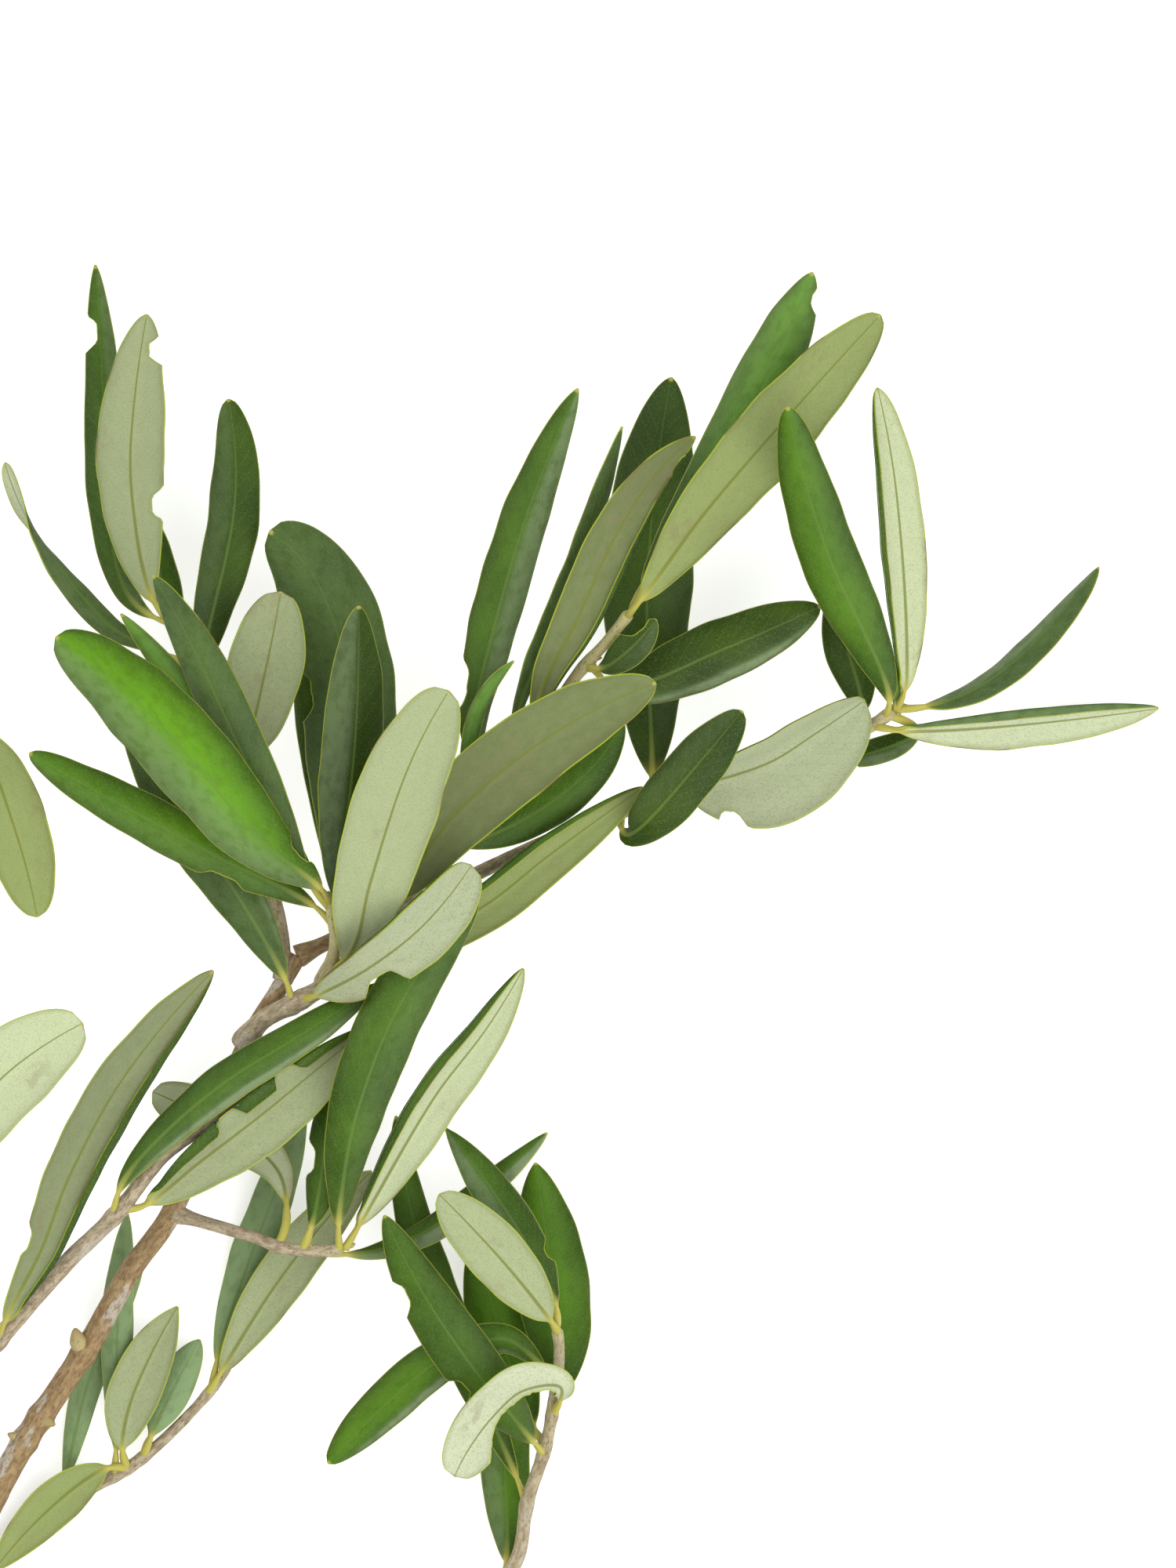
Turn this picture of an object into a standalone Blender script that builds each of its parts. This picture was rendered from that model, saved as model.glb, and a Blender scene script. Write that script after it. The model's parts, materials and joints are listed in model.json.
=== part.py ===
"""A leafy olive branch, cut and lying on a surface, seen from above.

The branch lies on the plane z = 0. +X is the viewer's right, +Y is the top of the view, and +Z comes
toward the viewer. The tables hold millimetres, measured from the lower left corner of the view.
Every leafy shoot is one object: a tapered stem with its leaves sunk into it.
"""
import math
from dataclasses import dataclass

import bpy
from mathutils import Vector
from mathutils.geometry import interpolate_bezier

MM = 0.001
ORIGIN = Vector((89.2, 102.2, 0.0))

STEM_STEP = 5.0
STEM_BEVEL_RESOLUTION = 2
SHOOT_TIP_RADIUS = 0.5
SHOOT_TIP_LENGTH = 2.0
STUB_TIP_RADIUS = 0.4
STUB_SHOULDER = 0.8
JOINT_GAP = 0.3

LEAF_THICKNESS = 0.7
PETIOLE_LENGTH = 5.0
PETIOLE_WIDTH = 1.3
PETIOLE_THICKNESS = 1.2
PETIOLE_MIDDLE = 0.55
LEAF_TIP_WIDTH = 0.7
LEAF_TIP_SHARE = 0.95
BLADE_STATIONS = (0.0, 0.08, 0.2, 0.35, 0.5, 0.65, 0.8, 0.9, 0.96, 1.0)
BASE_FULLNESS = 0.75
BITE_PROFILE = ((-1.0, 0.0), (-0.6, 0.8), (0.0, 1.0), (0.6, 0.8), (1.0, 0.0))
BITE_CLEARANCE = 1.3
BITTEN_REST = 0.6
BEND_LIMIT = 0.8
STRAIGHT = 0.001
PLACE_SLACK = 0.01

BARK_BROWN = (0.23, 0.13, 0.07)
LEAF_GREEN = (0.05, 0.14, 0.02)
PLANT_ROUGHNESS = 0.55


@dataclass
class Bite:
    """A piece missing from a leaf's edge; side is +1 on the right of the way from root to tip."""
    side: int
    place: float
    reach: float
    depth: float


@dataclass
class Leaf:
    """A leaf from its root on the stem to its tip; roll 0 shows the upper side, 180 the underside."""
    name: str
    root: tuple
    route: list
    width: float
    roll: float = 0.0
    twist: float = 0.0
    fold: float = 12.0
    petiole: float = PETIOLE_LENGTH
    widest: float = 0.5
    tip_fullness: float = 0.65
    bites: tuple = ()


@dataclass
class Stub:
    """A short bud or broken twig on a stem."""
    root: tuple
    tip: tuple
    radius: float


@dataclass
class Shoot:
    """A stem, the stem that it grows from, and its leaves."""
    name: str
    parent: str
    route: list
    radius: float
    end_radius: float
    colour: tuple
    leaves: tuple = ()
    stubs: tuple = ()


MAIN_STEM = Shoot(
    "main_stem", "",
    [(-22, -24, 3.4), (-10, -3, 6), (0, 16, 9), (4.5, 24, 10), (16.5, 42, 13.5), (25, 57, 17),
     (32.5, 67.5, 19.5), (47.5, 101, 25), (53.5, 111, 26.5), (57, 117, 27)],
    3.3, 1.9, BARK_BROWN,
    stubs=(Stub((15, 40), (14, 46, 17), 0.9), Stub((4.5, 24), (1, 25.5, 12), 1.2),
           Stub((7, 28), (10.5, 27, 14), 1.1)),
)

LEFT_SHOOT = Shoot(
    "left_shoot", "main_stem",
    [(54.2, 112.8, 26.7), (53, 126, 28.5), (48, 138, 30), (43, 151.5, 31), (38.5, 165, 31),
     (35.5, 175.5, 30), (32.5, 181.5, 29)],
    1.4, 1.0, LEAF_GREEN,
    leaves=(
        Leaf("long_bitten", (33, 180.5),
             [(24, 187, 24), (20.4, 204, 17), (19.3, 228, 8), (17.9, 249.7, 0.5)],
             8.2, petiole=3.5, widest=0.45, bites=(Bite(-1, 0.82, 0.047, 0.8),)),
        Leaf("pale_bitten", (32.5, 181), [(28.5, 187, 29), (25.5, 202.5, 27), (25, 216, 24), (28, 240, 20)],
             13.8, roll=180, tip_fullness=0.6,
             bites=(Bite(1, 0.33, 0.055, 0.4), Bite(1, 0.88, 0.045, 0.6))),
        Leaf("twisted", (36.5, 173), [(29, 176, 32), (20.5, 180.7, 33), (8, 196.5, 34), (1, 211.5, 32)],
             6.4, twist=165, widest=0.6, tip_fullness=0.5),
        Leaf("half_hidden", (35, 176), [(33.5, 180.5, 23), (29.8, 193, 16), (27.6, 203.5, 12)],
             7.0, roll=-10),
        Leaf("bluish", (38, 166), [(39.2, 176, 28), (44.8, 203, 24), (43.6, 223.8, 21)],
             10.5, widest=0.55, tip_fullness=0.5),
        Leaf("oval_pale", (43, 151.5), [(46.5, 155, 34), (50.7, 171, 36), (53.8, 186.8, 38)],
             15.5, roll=175, widest=0.55, tip_fullness=0.45),
    ),
)

RIGHT_SHOOT = Shoot(
    "right_shoot", "main_stem",
    [(57, 117, 27), (62, 119.4, 26.5), (91.5, 133, 24.5), (104.5, 139, 24), (114, 142.5, 23.5),
     (124.5, 147, 22), (135, 149.5, 19.5), (147, 152.5, 17.5), (159, 157, 17.5), (166.5, 161, 18.5),
     (171.5, 164.5, 20)],
    1.5, 1.1, LEAF_GREEN,
    leaves=(
        Leaf("tall_dark", (124.5, 147), [(124.8, 154, 18), (123.8, 184, 16), (125.3, 207, 15.5),
             (128.5, 228, 15)], 18.5, widest=0.55),
        Leaf("round_dark", (119, 145), [(118.8, 142, 27.5), (120.3, 140.3, 31.8), (124, 143, 36),
             (132, 152, 38.5), (142, 164, 38.5)], 11.5, petiole=7.0, tip_fullness=0.5),
        Leaf("white_bitten", (128, 147.8), [(133, 149.6, 22.3), (147, 154.2, 22.5), (156, 159.8, 22),
             (165.5, 166.2, 21.5)], 26.0, roll=213, fold=33, petiole=2.5, widest=0.45, tip_fullness=0.5,
             bites=(Bite(1, 0.2, 0.06, 0.3),)),
        Leaf("bright_upright", (169.5, 163), [(169.5, 169.5, 27), (158, 195, 39), (150.6, 222, 46)],
             12.0, tip_fullness=0.5),
        Leaf("hidden_dark", (165, 160), [(164.8, 166.5, 17.5), (161.5, 180.5, 17), (164.4, 194, 16)],
             9.5, petiole=3.5, widest=0.4),
        Leaf("pale_upright", (172, 165), [(173.5, 171.5, 26), (171.6, 204, 33), (167.8, 225.8, 33)],
             9.8, roll=212, fold=24, tip_fullness=0.55),
        Leaf("far_right", (171.5, 164.5), [(178.5, 165.1, 21), (187.8, 168.8, 21), (197.8, 176.8, 20),
             (210.4, 191.6, 17)], 7.4, roll=-38),
        Leaf("edge_on", (167, 161.3), [(174, 160.2, 20), (195, 161.4, 10), (222, 164.6, 0.9)],
             9.5, roll=235, fold=12),
        Leaf("folded_under", (170, 163.3), [(175.5, 160, 17), (169.5, 156.8, 13.5), (160, 154.5, 12.5)],
             5.5, petiole=7.0, bites=(Bite(-1, 0.88, 0.1, 0.6),)),
        Leaf("bud_scale_left", (171.5, 164.5), [(171.2, 168, 23.5), (170.9, 174.6, 25)], 2.8, petiole=1.5),
    ),
)

MIDDLE_SHOOT = Shoot(
    "middle_shoot", "main_stem",
    [(47, 100.5, 24.8), (50.5, 105, 29), (57.8, 108.8, 32), (64.5, 113.3, 33.5), (70, 120.5, 34),
     (73.7, 125, 34), (84, 135, 34.5), (96, 150, 36), (103.5, 160.5, 36), (110.3, 170.7, 36),
     (116.3, 177.5, 35.5), (121, 183.5, 35)],
    1.9, 1.0, LEAF_GREEN,
    leaves=(
        Leaf("under_crown", (55.5, 108), [(54.3, 113.3, 34), (45.8, 128.2, 37), (35.3, 143.2, 38),
             (23.5, 164.3, 39)], 11.5),
        Leaf("silver_bitten", (58, 109), [(62, 110.3, 38.5), (71, 115.2, 46.5), (81.2, 123.3, 51),
             (90.2, 134.6, 51)], 14.0, roll=210, fold=26, widest=0.66, tip_fullness=0.42,
             bites=(Bite(1, 0.37, 0.1, 0.55),)),
        Leaf("yellow_green", (65.5, 114.5), [(71, 114.5, 31), (93, 127, 30), (105, 136.4, 30),
             (123, 149.4, 28.5)], 11.0, roll=195, fold=20),
        Leaf("broad_grey", (73, 124.5), [(76.5, 129, 38), (87, 144, 43), (105, 159, 45), (125.5, 169.3, 45)],
             16.5, roll=180, tip_fullness=0.52),
        Leaf("under_grey", (85, 136.3), [(88.8, 138, 31.5), (101, 143.6, 29.5), (112.5, 152.3, 29),
             (119.3, 162, 28)], 9.5),
        Leaf("slender_left", (94, 147.5), [(90.5, 160, 33), (94.8, 181, 32), (101.3, 203, 31),
             (110.6, 225.7, 30)], 10.4, roll=10, bites=(Bite(-1, 0.22, 0.06, 0.4),)),
        Leaf("small_tip", (89, 141.3), [(89.5, 155, 38.5), (92, 165.5, 39), (98.3, 173.5, 40)], 3.5),
        Leaf("grey_brown", (101, 157), [(104.5, 170, 38.5), (110.3, 181.2, 39), (117.2, 196.3, 37.5),
             (124.7, 208.3, 35.5), (133, 216.4, 33.5)], 10.5, roll=180, bites=(Bite(1, 0.9, 0.05, 0.4),)),
        Leaf("dark_behind", (98, 153), [(99.8, 166, 35), (110.9, 193, 32), (119, 218.4, 30)], 5.5, roll=30),
        Leaf("dark_sideways", (113, 173.8), [(119.5, 168.6, 32), (138, 175.6, 29.5), (157, 184, 27)],
             12.8, tip_fullness=0.58),
        Leaf("torn", (112, 172.6), [(117, 173, 38.5), (125.5, 181.5, 40)], 7.0, petiole=3.0,
             bites=(Bite(-1, 0.75, 0.2, 0.6),)),
        Leaf("long_pale", (120, 182.2), [(124, 187, 39.5), (134.6, 201.5, 39.5), (149.6, 219, 34),
             (168.5, 239.8, 29)], 14.6, roll=180, widest=0.55, tip_fullness=0.5),
        Leaf("upper_green", (121, 183.5), [(124, 190, 32), (136.5, 209.5, 29.5), (148, 231, 25.5),
             (155.5, 248, 23.5)], 12.2, widest=0.66, bites=(Bite(1, 0.93, 0.03, 0.4),)),
    ),
)

FRONT_SHOOT = Shoot(
    "front_shoot", "middle_shoot",
    [(62.2, 112, 33), (63.5, 116, 37), (64.4, 120, 41), (63.8, 124.5, 45), (63, 129.5, 48)],
    1.5, 0.9, LEAF_GREEN,
    leaves=(
        Leaf("bright_big", (63.3, 127.5), [(60.5, 131, 52), (49.8, 139.5, 59), (36.6, 155, 63),
             (23.4, 168.8, 63), (11, 178, 60)], 17.0, widest=0.53, tip_fullness=0.42,
             bites=(Bite(1, 0.12, 0.05, 0.4),)),
        Leaf("behind_big", (63.6, 126), [(58, 133.5, 50), (46.5, 156, 53), (37.2, 176, 54),
             (29.5, 189.8, 52)], 10.5, roll=-15, petiole=8.0),
        Leaf("tip_behind", (63.8, 124.8), [(59, 133, 47.5), (43, 157, 48.5), (32, 172, 49),
             (23.3, 182.5, 48.5)], 6.5),
        Leaf("lower_left", (64, 122.5), [(59, 127.5, 43.5), (43.5, 135.2, 47), (22.5, 146.5, 49),
             (5.8, 155.9, 46)], 9.9, tip_fullness=0.5, bites=(Bite(-1, 0.3, 0.07, 0.35),)),
        Leaf("dark_upright", (64, 123.5), [(65, 132, 48), (68, 158, 50), (68.7, 184, 49)],
             13.0, roll=15, tip_fullness=0.6),
        Leaf("broad_upper", (64.3, 120), [(66.5, 131, 38), (67, 152, 33), (65.6, 174, 30),
             (60.3, 189.3, 28.5), (51.5, 198.4, 28)], 19.8, widest=0.62, tip_fullness=0.42,
             bites=(Bite(-1, 0.56, 0.07, 0.3),)),
        Leaf("light_front", (63, 114.5), [(68, 119.5, 44), (70.9, 131, 53), (78, 152.6, 57),
             (86, 167.8, 58)], 17.6, roll=185, widest=0.6, tip_fullness=0.42),
    ),
)

LOWER_SHOOT = Shoot(
    "lower_shoot", "main_stem",
    [(-12.5, -7, 5.5), (-18, 4, 8), (-18, 14, 12), (-11, 31.6, 20), (0.3, 44.5, 25), (12.3, 58, 29),
     (22.5, 68, 31), (31, 78.7, 33), (40, 85.2, 33.5), (51, 93, 34)],
    2.4, 1.2, LEAF_GREEN,
    leaves=(
        Leaf("grey_brown_left", (-1, 44), [(2.5, 50.5, 30.5), (7.9, 61, 32), (13.4, 75.3, 33), (24, 94.4, 32),
             (40.8, 114.3, 30)], 12.5, roll=203, fold=27, widest=0.55, bites=(Bite(-1, 0.22, 0.04, 0.3),)),
        Leaf("glossy", (21, 67), [(24.3, 75, 35), (33, 84.6, 37), (44, 93.6, 38.5), (56, 101, 38),
             (73, 112, 35)], 8.6, roll=-10),
        Leaf("folded_bitten", (23, 68.8), [(28, 69.6, 32), (37.5, 77.2, 33), (49.5, 86.4, 33.5),
             (60, 95, 33.5), (70, 103.3, 33)], 15.0, roll=210, fold=30,
             bites=(Bite(-1, 0.42, 0.06, 0.35), Bite(-1, 0.68, 0.06, 0.35))),
    ),
)

TWIG_SHOOT = Shoot(
    "twig_shoot", "main_stem",
    [(33, 67.8, 19.7), (40.5, 65.6, 21), (49.5, 62.9, 22.5), (53.3, 61.3, 23), (60, 60.6, 24),
     (66, 61, 25)],
    1.3, 1.0, LEAF_GREEN,
    leaves=(
        Leaf("curled", (53, 61.4), [(54.8, 67.5, 21), (53, 76, 17.5), (44.5, 83, 13.5), (29, 91, 12)],
             11.0, roll=180, petiole=9.0, widest=0.65, tip_fullness=0.42),
        Leaf("bitten_dark", (58, 60.8), [(60.3, 68, 27), (62, 80, 29), (62.3, 91.5, 29)],
             7.5, roll=-15, bites=(Bite(-1, 0.5, 0.13, 0.5),)),
        Leaf("bright_green", (64.8, 60.9), [(65, 69, 30), (68.6, 88, 40), (77.2, 109, 42), (91.6, 127.6, 43)],
             13.2, roll=10, widest=0.58),
        Leaf("pale_folded", (66, 61), [(69.5, 67, 27), (83, 90, 33), (93, 103.2, 35.5),
             (100.1, 114.8, 37)], 11.0, roll=214, fold=34),
        Leaf("long_dark", (61, 60.6), [(70, 60.2, 21.5), (81, 64, 20), (90, 70.6, 20), (97.5, 76.7, 20.5),
             (104.7, 83.2, 21)], 6.0, roll=-20),
    ),
)

BOTTOM_SHOOT = Shoot(
    "bottom_shoot", "main_stem",
    [(-17.5, -16.2, 4.8), (0, -22, 4.6), (30, -26, 4.4), (60, -24, 5), (84, -15, 8), (98.2, 0, 12),
     (101, 12.8, 14), (104.2, 22.5, 16), (106, 31.5, 18), (107, 40.5, 20), (106.3, 46.5, 21.5)],
    2.4, 1.0, LEAF_GREEN,
    leaves=(
        Leaf("pale_oval", (106.5, 45), [(104.3, 48.7, 27), (95.6, 59.4, 34), (84, 71.6, 36)],
             12.2, roll=180, widest=0.55, tip_fullness=0.52),
        Leaf("green_upper", (106.4, 46), [(105.7, 52, 25), (98.2, 66.2, 27.5), (85.2, 84.2, 27.5)],
             9.2, roll=10, widest=0.42, tip_fullness=0.8, bites=(Bite(1, 0.25, 0.05, 0.35),)),
        Leaf("large_behind", (106, 31.5), [(107.6, 37, 15), (105.6, 55, 12.5), (102.4, 77.4, 12)],
             15.0, petiole=3.0, widest=0.45, tip_fullness=0.75),
        Leaf("arched", (106, 34), [(103.5, 38.7, 22), (96, 43.8, 24), (84, 39.5, 24), (75, 32.3, 21),
             (62.6, 19.8, 16)], 9.6, widest=0.6, tip_fullness=0.5),
        Leaf("front_bitten", (104, 21.5), [(98, 29, 26), (90, 39, 30), (81, 52.5, 31), (73.5, 67.5, 30)],
             12.0, widest=0.42, bites=(Bite(-1, 0.35, 0.05, 0.4), Bite(-1, 0.72, 0.06, 0.4))),
        Leaf("rear_upright", (101, 12), [(98, 19, 12), (87.8, 42, 12.5), (82, 57, 13), (78.2, 70, 14),
             (75.7, 86.4, 14)], 8.5),
        Leaf("curled_white", (105.8, 29.5), [(107, 34.6, 27), (99.8, 33.8, 34), (94.3, 29, 37),
             (90, 23.3, 37), (87, 17.6, 35)], 12.0, roll=180, widest=0.65, tip_fullness=0.42,
             bites=(Bite(-1, 0.45, 0.38, 0.8),)),
        Leaf("low_dark", (95.5, -3), [(97, 5, 9), (96.6, 20, 7), (97.6, 41, 6)], 10.0, petiole=3.5),
        Leaf("low_hidden", (104.5, 23.5), [(100.5, 30, 11.5), (95.5, 45, 8.5), (91, 62.5, 8)], 12.5),
        Leaf("outer_first", (14, -24.2), [(20, -20, 8), (34, -12, 11), (52, -8, 10)], 9.5),
        Leaf("outer_second", (20, -25), [(25, -31, 7), (39, -39, 8), (57, -42, 6)], 10.0, roll=-10),
        Leaf("outer_third", (58, -24.3), [(62, -19, 9), (70, -11, 11), (80, -4, 11)], 7.5),
        Leaf("outer_fourth", (68, -22), [(75, -25, 9), (90, -27, 11), (108, -24, 9)], 9.5, roll=10),
    ),
)

REAR_SHOOT = Shoot(
    "rear_shoot", "main_stem",
    [(-13, -8.3, 5.4), (-5, -2, 3.5), (4.5, 5.3, 3), (14.5, 13.3, 3.5), (25, 19.2, 4), (33, 26, 4.5),
     (40, 33.5, 5), (44, 39, 5.5)],
    1.6, 0.9, LEAF_GREEN,
    leaves=(
        Leaf("soft_pale", (24, 18.6), [(23.2, 24, 8), (25.7, 34, 9), (33.8, 49.8, 9)], 11.0, roll=180,
             widest=0.42, tip_fullness=0.8),
        Leaf("lower_left_pale", (24, 18.6), [(18.5, 18, 8), (8, 9.8, 8), (-1.5, -1, 7)], 9.4, roll=180,
             widest=0.4, tip_fullness=0.75),
        Leaf("soft_green", (27, 20.6), [(29, 25.8, 6.8), (32.8, 33.8, 7.1), (38, 43.4, 6)], 7.8),
        Leaf("long_soft", (39.5, 33), [(43.5, 39.5, 8), (51.3, 52, 9.2), (60.3, 64, 9.6), (71, 75.8, 10)],
             10.5, roll=180),
        Leaf("grey_green", (40.5, 34.1), [(42, 42, 6.3), (47.3, 58, 6.6), (53.3, 74, 7), (58, 88.5, 8)], 8.6),
        Leaf("narrow_dark", (13, 9), [(12, 16, 4), (17.5, 38, 5), (27, 57, 6)], 6.0),
        Leaf("dark_rear", (22, 16.3), [(22, 24, 6.5), (22.3, 48, 9.5), (24.2, 67.5, 10)], 6.5),
    ),
)

OUTER_SHOOT = Shoot(
    "outer_shoot", "lower_shoot",
    [(-18, 8.5, 9.8), (-23, 18, 12), (-26, 35, 16), (-27, 70, 22), (-23, 110, 27), (-16, 145, 30),
     (-11, 163, 31)],
    1.7, 0.9, LEAF_GREEN,
    leaves=(
        Leaf("hanging_pale", (-11.5, 161.5), [(-4, 158, 34), (2.7, 142, 35), (7.2, 124.5, 33)],
             14.0, roll=180, tip_fullness=0.52),
        Leaf("near_pale", (-27, 66), [(-20, 73, 33), (-8, 85, 39), (3, 96, 41), (16, 104.3, 41)],
             18.0, roll=180, widest=0.62, tip_fullness=0.42),
        Leaf("outer_low", (-26.3, 40), [(-32, 46, 19), (-38, 60, 19), (-40, 78, 17)], 10.0),
        Leaf("outer_middle", (-24, 103), [(-30, 109, 26), (-37, 124, 25), (-40, 144, 23)], 11.0),
        Leaf("outer_upper", (-15, 148), [(-21, 155, 32), (-27, 170, 32), (-29, 190, 30)], 10.0, roll=180),
        Leaf("outer_tip", (-11, 163), [(-9, 170, 32), (-7, 184, 32), (-9, 202, 30)], 11.0),
    ),
)

SHOOTS = (MAIN_STEM, LEFT_SHOOT, RIGHT_SHOOT, MIDDLE_SHOOT, FRONT_SHOOT, LOWER_SHOOT, TWIG_SHOOT,
          BOTTOM_SHOOT, REAR_SHOOT, OUTER_SHOOT)


class Path:
    """A smooth line through some points, measured by the distance along it."""

    STEPS = 12

    def __init__(self, points):
        """Lay the line through the points, given as (x, y, z) in millimetres."""
        corners = [Vector(point) for point in points]
        times = [0.0]
        for start, end in zip(corners, corners[1:]):
            times.append(times[-1] + (end - start).length)
        slopes = self.slopes(corners, times)
        self.points = [corners[0]]
        for i in range(len(corners) - 1):
            third = (times[i + 1] - times[i]) / 3.0
            handle = corners[i] + slopes[i] * third
            other = corners[i + 1] - slopes[i + 1] * third
            self.points += interpolate_bezier(corners[i], handle, other, corners[i + 1], self.STEPS + 1)[1:]
        self.distances = [0.0]
        for start, end in zip(self.points, self.points[1:]):
            self.distances.append(self.distances[-1] + (end - start).length)
        self.length = self.distances[-1]

    @staticmethod
    def slopes(corners, times):
        """Give each corner the slope of the line through its neighbours."""
        inner = [(corners[i + 1] - corners[i - 1]) / (times[i + 1] - times[i - 1])
                 for i in range(1, len(corners) - 1)]
        first = (corners[1] - corners[0]) / (times[1] - times[0])
        last = (corners[-1] - corners[-2]) / (times[-1] - times[-2])
        if inner:
            first = 2.0 * first - inner[0]
            last = 2.0 * last - inner[-1]
        return [first] + inner + [last]

    def point(self, distance):
        """The point at a distance along the line, clamped to its ends."""
        distance = min(max(distance, 0.0), self.length)
        for i in range(1, len(self.distances)):
            if distance <= self.distances[i]:
                span = self.distances[i] - self.distances[i - 1]
                return self.points[i - 1].lerp(self.points[i], (distance - self.distances[i - 1]) / span)
        return self.points[-1].copy()

    def direction(self, distance, reach=0.5):
        """The unit direction of the line at a distance along it."""
        return (self.point(distance + reach) - self.point(distance - reach)).normalized()

    def bend(self, distance, reach=2.0):
        """How fast the direction changes, as a vector toward the inside of the bend."""
        ahead = self.direction(distance + reach)
        behind = self.direction(distance - reach)
        return (ahead - behind) / (2.0 * reach)

    def nearest(self, x, y):
        """The distance along the line of its point that is seen nearest to (x, y)."""
        target = Vector((x, y))
        gaps = [(point.xy - target).length for point in self.points]
        return self.distances[gaps.index(min(gaps))]


def stations(leaf, length):
    """The places along a leaf where its cross section is set, as distances from its root."""
    blade = length - leaf.petiole
    shares = set(BLADE_STATIONS)
    for bite in leaf.bites:
        clear = bite.reach * BITE_CLEARANCE
        shares = {share for share in shares if abs(share - bite.place) > clear or share in (0.0, 1.0)}
        shares |= {bite.place + offset * bite.reach for offset, _ in BITE_PROFILE}
    places = [0.0, leaf.petiole * PETIOLE_MIDDLE]
    places += [leaf.petiole + blade * share for share in sorted(shares) if share <= 1.0]
    return places


def bitten_share(leaf, side, share):
    """How much of the half blade on one side is missing at a share of the blade's length."""
    for bite in leaf.bites:
        offset = (share - bite.place) / bite.reach
        if bite.side != side or abs(offset) >= 1.0:
            continue
        for (start, low), (end, high) in zip(BITE_PROFILE, BITE_PROFILE[1:]):
            if start <= offset <= end:
                return bite.depth * (low + (high - low) * (offset - start) / (end - start))
    return 0.0


def outline(leaf, share):
    """The share of the full width at a share of the blade's length."""
    if share < leaf.widest:
        return (1.0 - ((leaf.widest - share) / leaf.widest) ** 2) ** BASE_FULLNESS
    return max(1.0 - ((share - leaf.widest) / (1.0 - leaf.widest)) ** 2, 0.0) ** leaf.tip_fullness


def half_width(leaf, path, place, side, outward):
    """The half width on one side at a place, less what is bitten off or too tight in a bend."""
    if place < leaf.petiole - PLACE_SLACK:
        return PETIOLE_WIDTH / 2.0
    share = (place - leaf.petiole) / (path.length - leaf.petiole)
    full = leaf.width / 2.0 * outline(leaf, max(share, 0.0)) * (1.0 - bitten_share(leaf, side, share))
    inward = path.bend(place).dot(outward)
    if inward > STRAIGHT:
        full = min(full, BEND_LIMIT / inward)
    least = LEAF_TIP_WIDTH / 2.0 if share > LEAF_TIP_SHARE else BITTEN_REST
    return max(full, least)


def leaf_section(leaf, path, place):
    """The six corners of a leaf's cross section: left, middle, right above, and back below."""
    tangent = path.direction(place)
    toward_viewer = (Vector((0, 0, 1)) - tangent * tangent.z).normalized()
    aside = tangent.cross(toward_viewer)
    share = place / path.length
    roll = math.radians(leaf.roll + leaf.twist * share ** 2)
    normal = toward_viewer * math.cos(roll) + aside * math.sin(roll)
    right = tangent.cross(normal)
    in_petiole = place < leaf.petiole - PLACE_SLACK
    fold = 0.0 if in_petiole else math.radians(leaf.fold)
    half = (PETIOLE_THICKNESS if in_petiole else LEAF_THICKNESS) / 2.0
    view_sign = 1 if math.cos(roll) >= 0.0 else -1
    centre = path.point(place)
    above = [centre + normal * half / math.cos(fold)]
    below = [centre - normal * half / math.cos(fold)]
    for side in (-1, 1):
        outward = right * side
        width = half_width(leaf, path, place, side * view_sign, outward)
        edge = centre + (outward * math.cos(fold) - normal * math.sin(fold)) * width
        edge_normal = normal * math.cos(fold) + outward * math.sin(fold)
        above.insert(0 if side < 0 else len(above), edge + edge_normal * half)
        below.insert(0 if side < 0 else len(below), edge - edge_normal * half)
    return above + below[::-1]


def leaf_mesh(leaf, stem):
    """Make the closed mesh of a leaf whose petiole starts on the stem's centre line."""
    root = stem.point(stem.nearest(*leaf.root))
    path = Path([root] + leaf.route)
    rings = [leaf_section(leaf, path, place) for place in stations(leaf, path.length)]
    vertices = [(point - ORIGIN) * MM for ring in rings for point in ring]
    faces = [(0, 5, 1), (1, 5, 4), (1, 4, 2), (2, 4, 3)]
    for i in range(len(rings) - 1):
        near = i * 6
        far = near + 6
        for a, b, diagonal in ((0, 1, 0), (1, 2, 1), (5, 4, 0), (4, 3, 1), (2, 3, 0), (0, 5, 0)):
            flip = (a, b) in ((5, 4), (4, 3), (0, 5))
            corners = [near + a, near + b, far + b, far + a]
            triangles = ((0, 1, 2), (0, 2, 3)) if diagonal == 0 else ((0, 1, 3), (1, 2, 3))
            for triangle in triangles:
                face = [corners[k] for k in triangle]
                faces.append(face[::-1] if flip else face)
    last = (len(rings) - 1) * 6
    faces += [(last, last + 1, last + 5), (last + 1, last + 4, last + 5),
              (last + 1, last + 2, last + 4), (last + 2, last + 3, last + 4)]
    mesh = bpy.data.meshes.new(leaf.name)
    mesh.from_pydata(vertices, [], faces)
    return mesh


def tube_mesh(name, points, radii):
    """Make a closed round tube through the points, with a radius at each."""
    curve = bpy.data.curves.new(name, "CURVE")
    curve.dimensions = "3D"
    curve.bevel_depth = MM
    curve.bevel_resolution = STEM_BEVEL_RESOLUTION
    curve.use_fill_caps = True
    spline = curve.splines.new("POLY")
    spline.points.add(len(points) - 1)
    for knot, point, radius in zip(spline.points, points, radii):
        knot.co = (*((point - ORIGIN) * MM), 1.0)
        knot.radius = radius
    tube = bpy.data.objects.new(name, curve)
    bpy.context.scene.collection.objects.link(tube)
    bpy.context.view_layer.update()
    mesh = bpy.data.meshes.new_from_object(tube.evaluated_get(bpy.context.evaluated_depsgraph_get()))
    bpy.data.objects.remove(tube)
    return mesh


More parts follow.
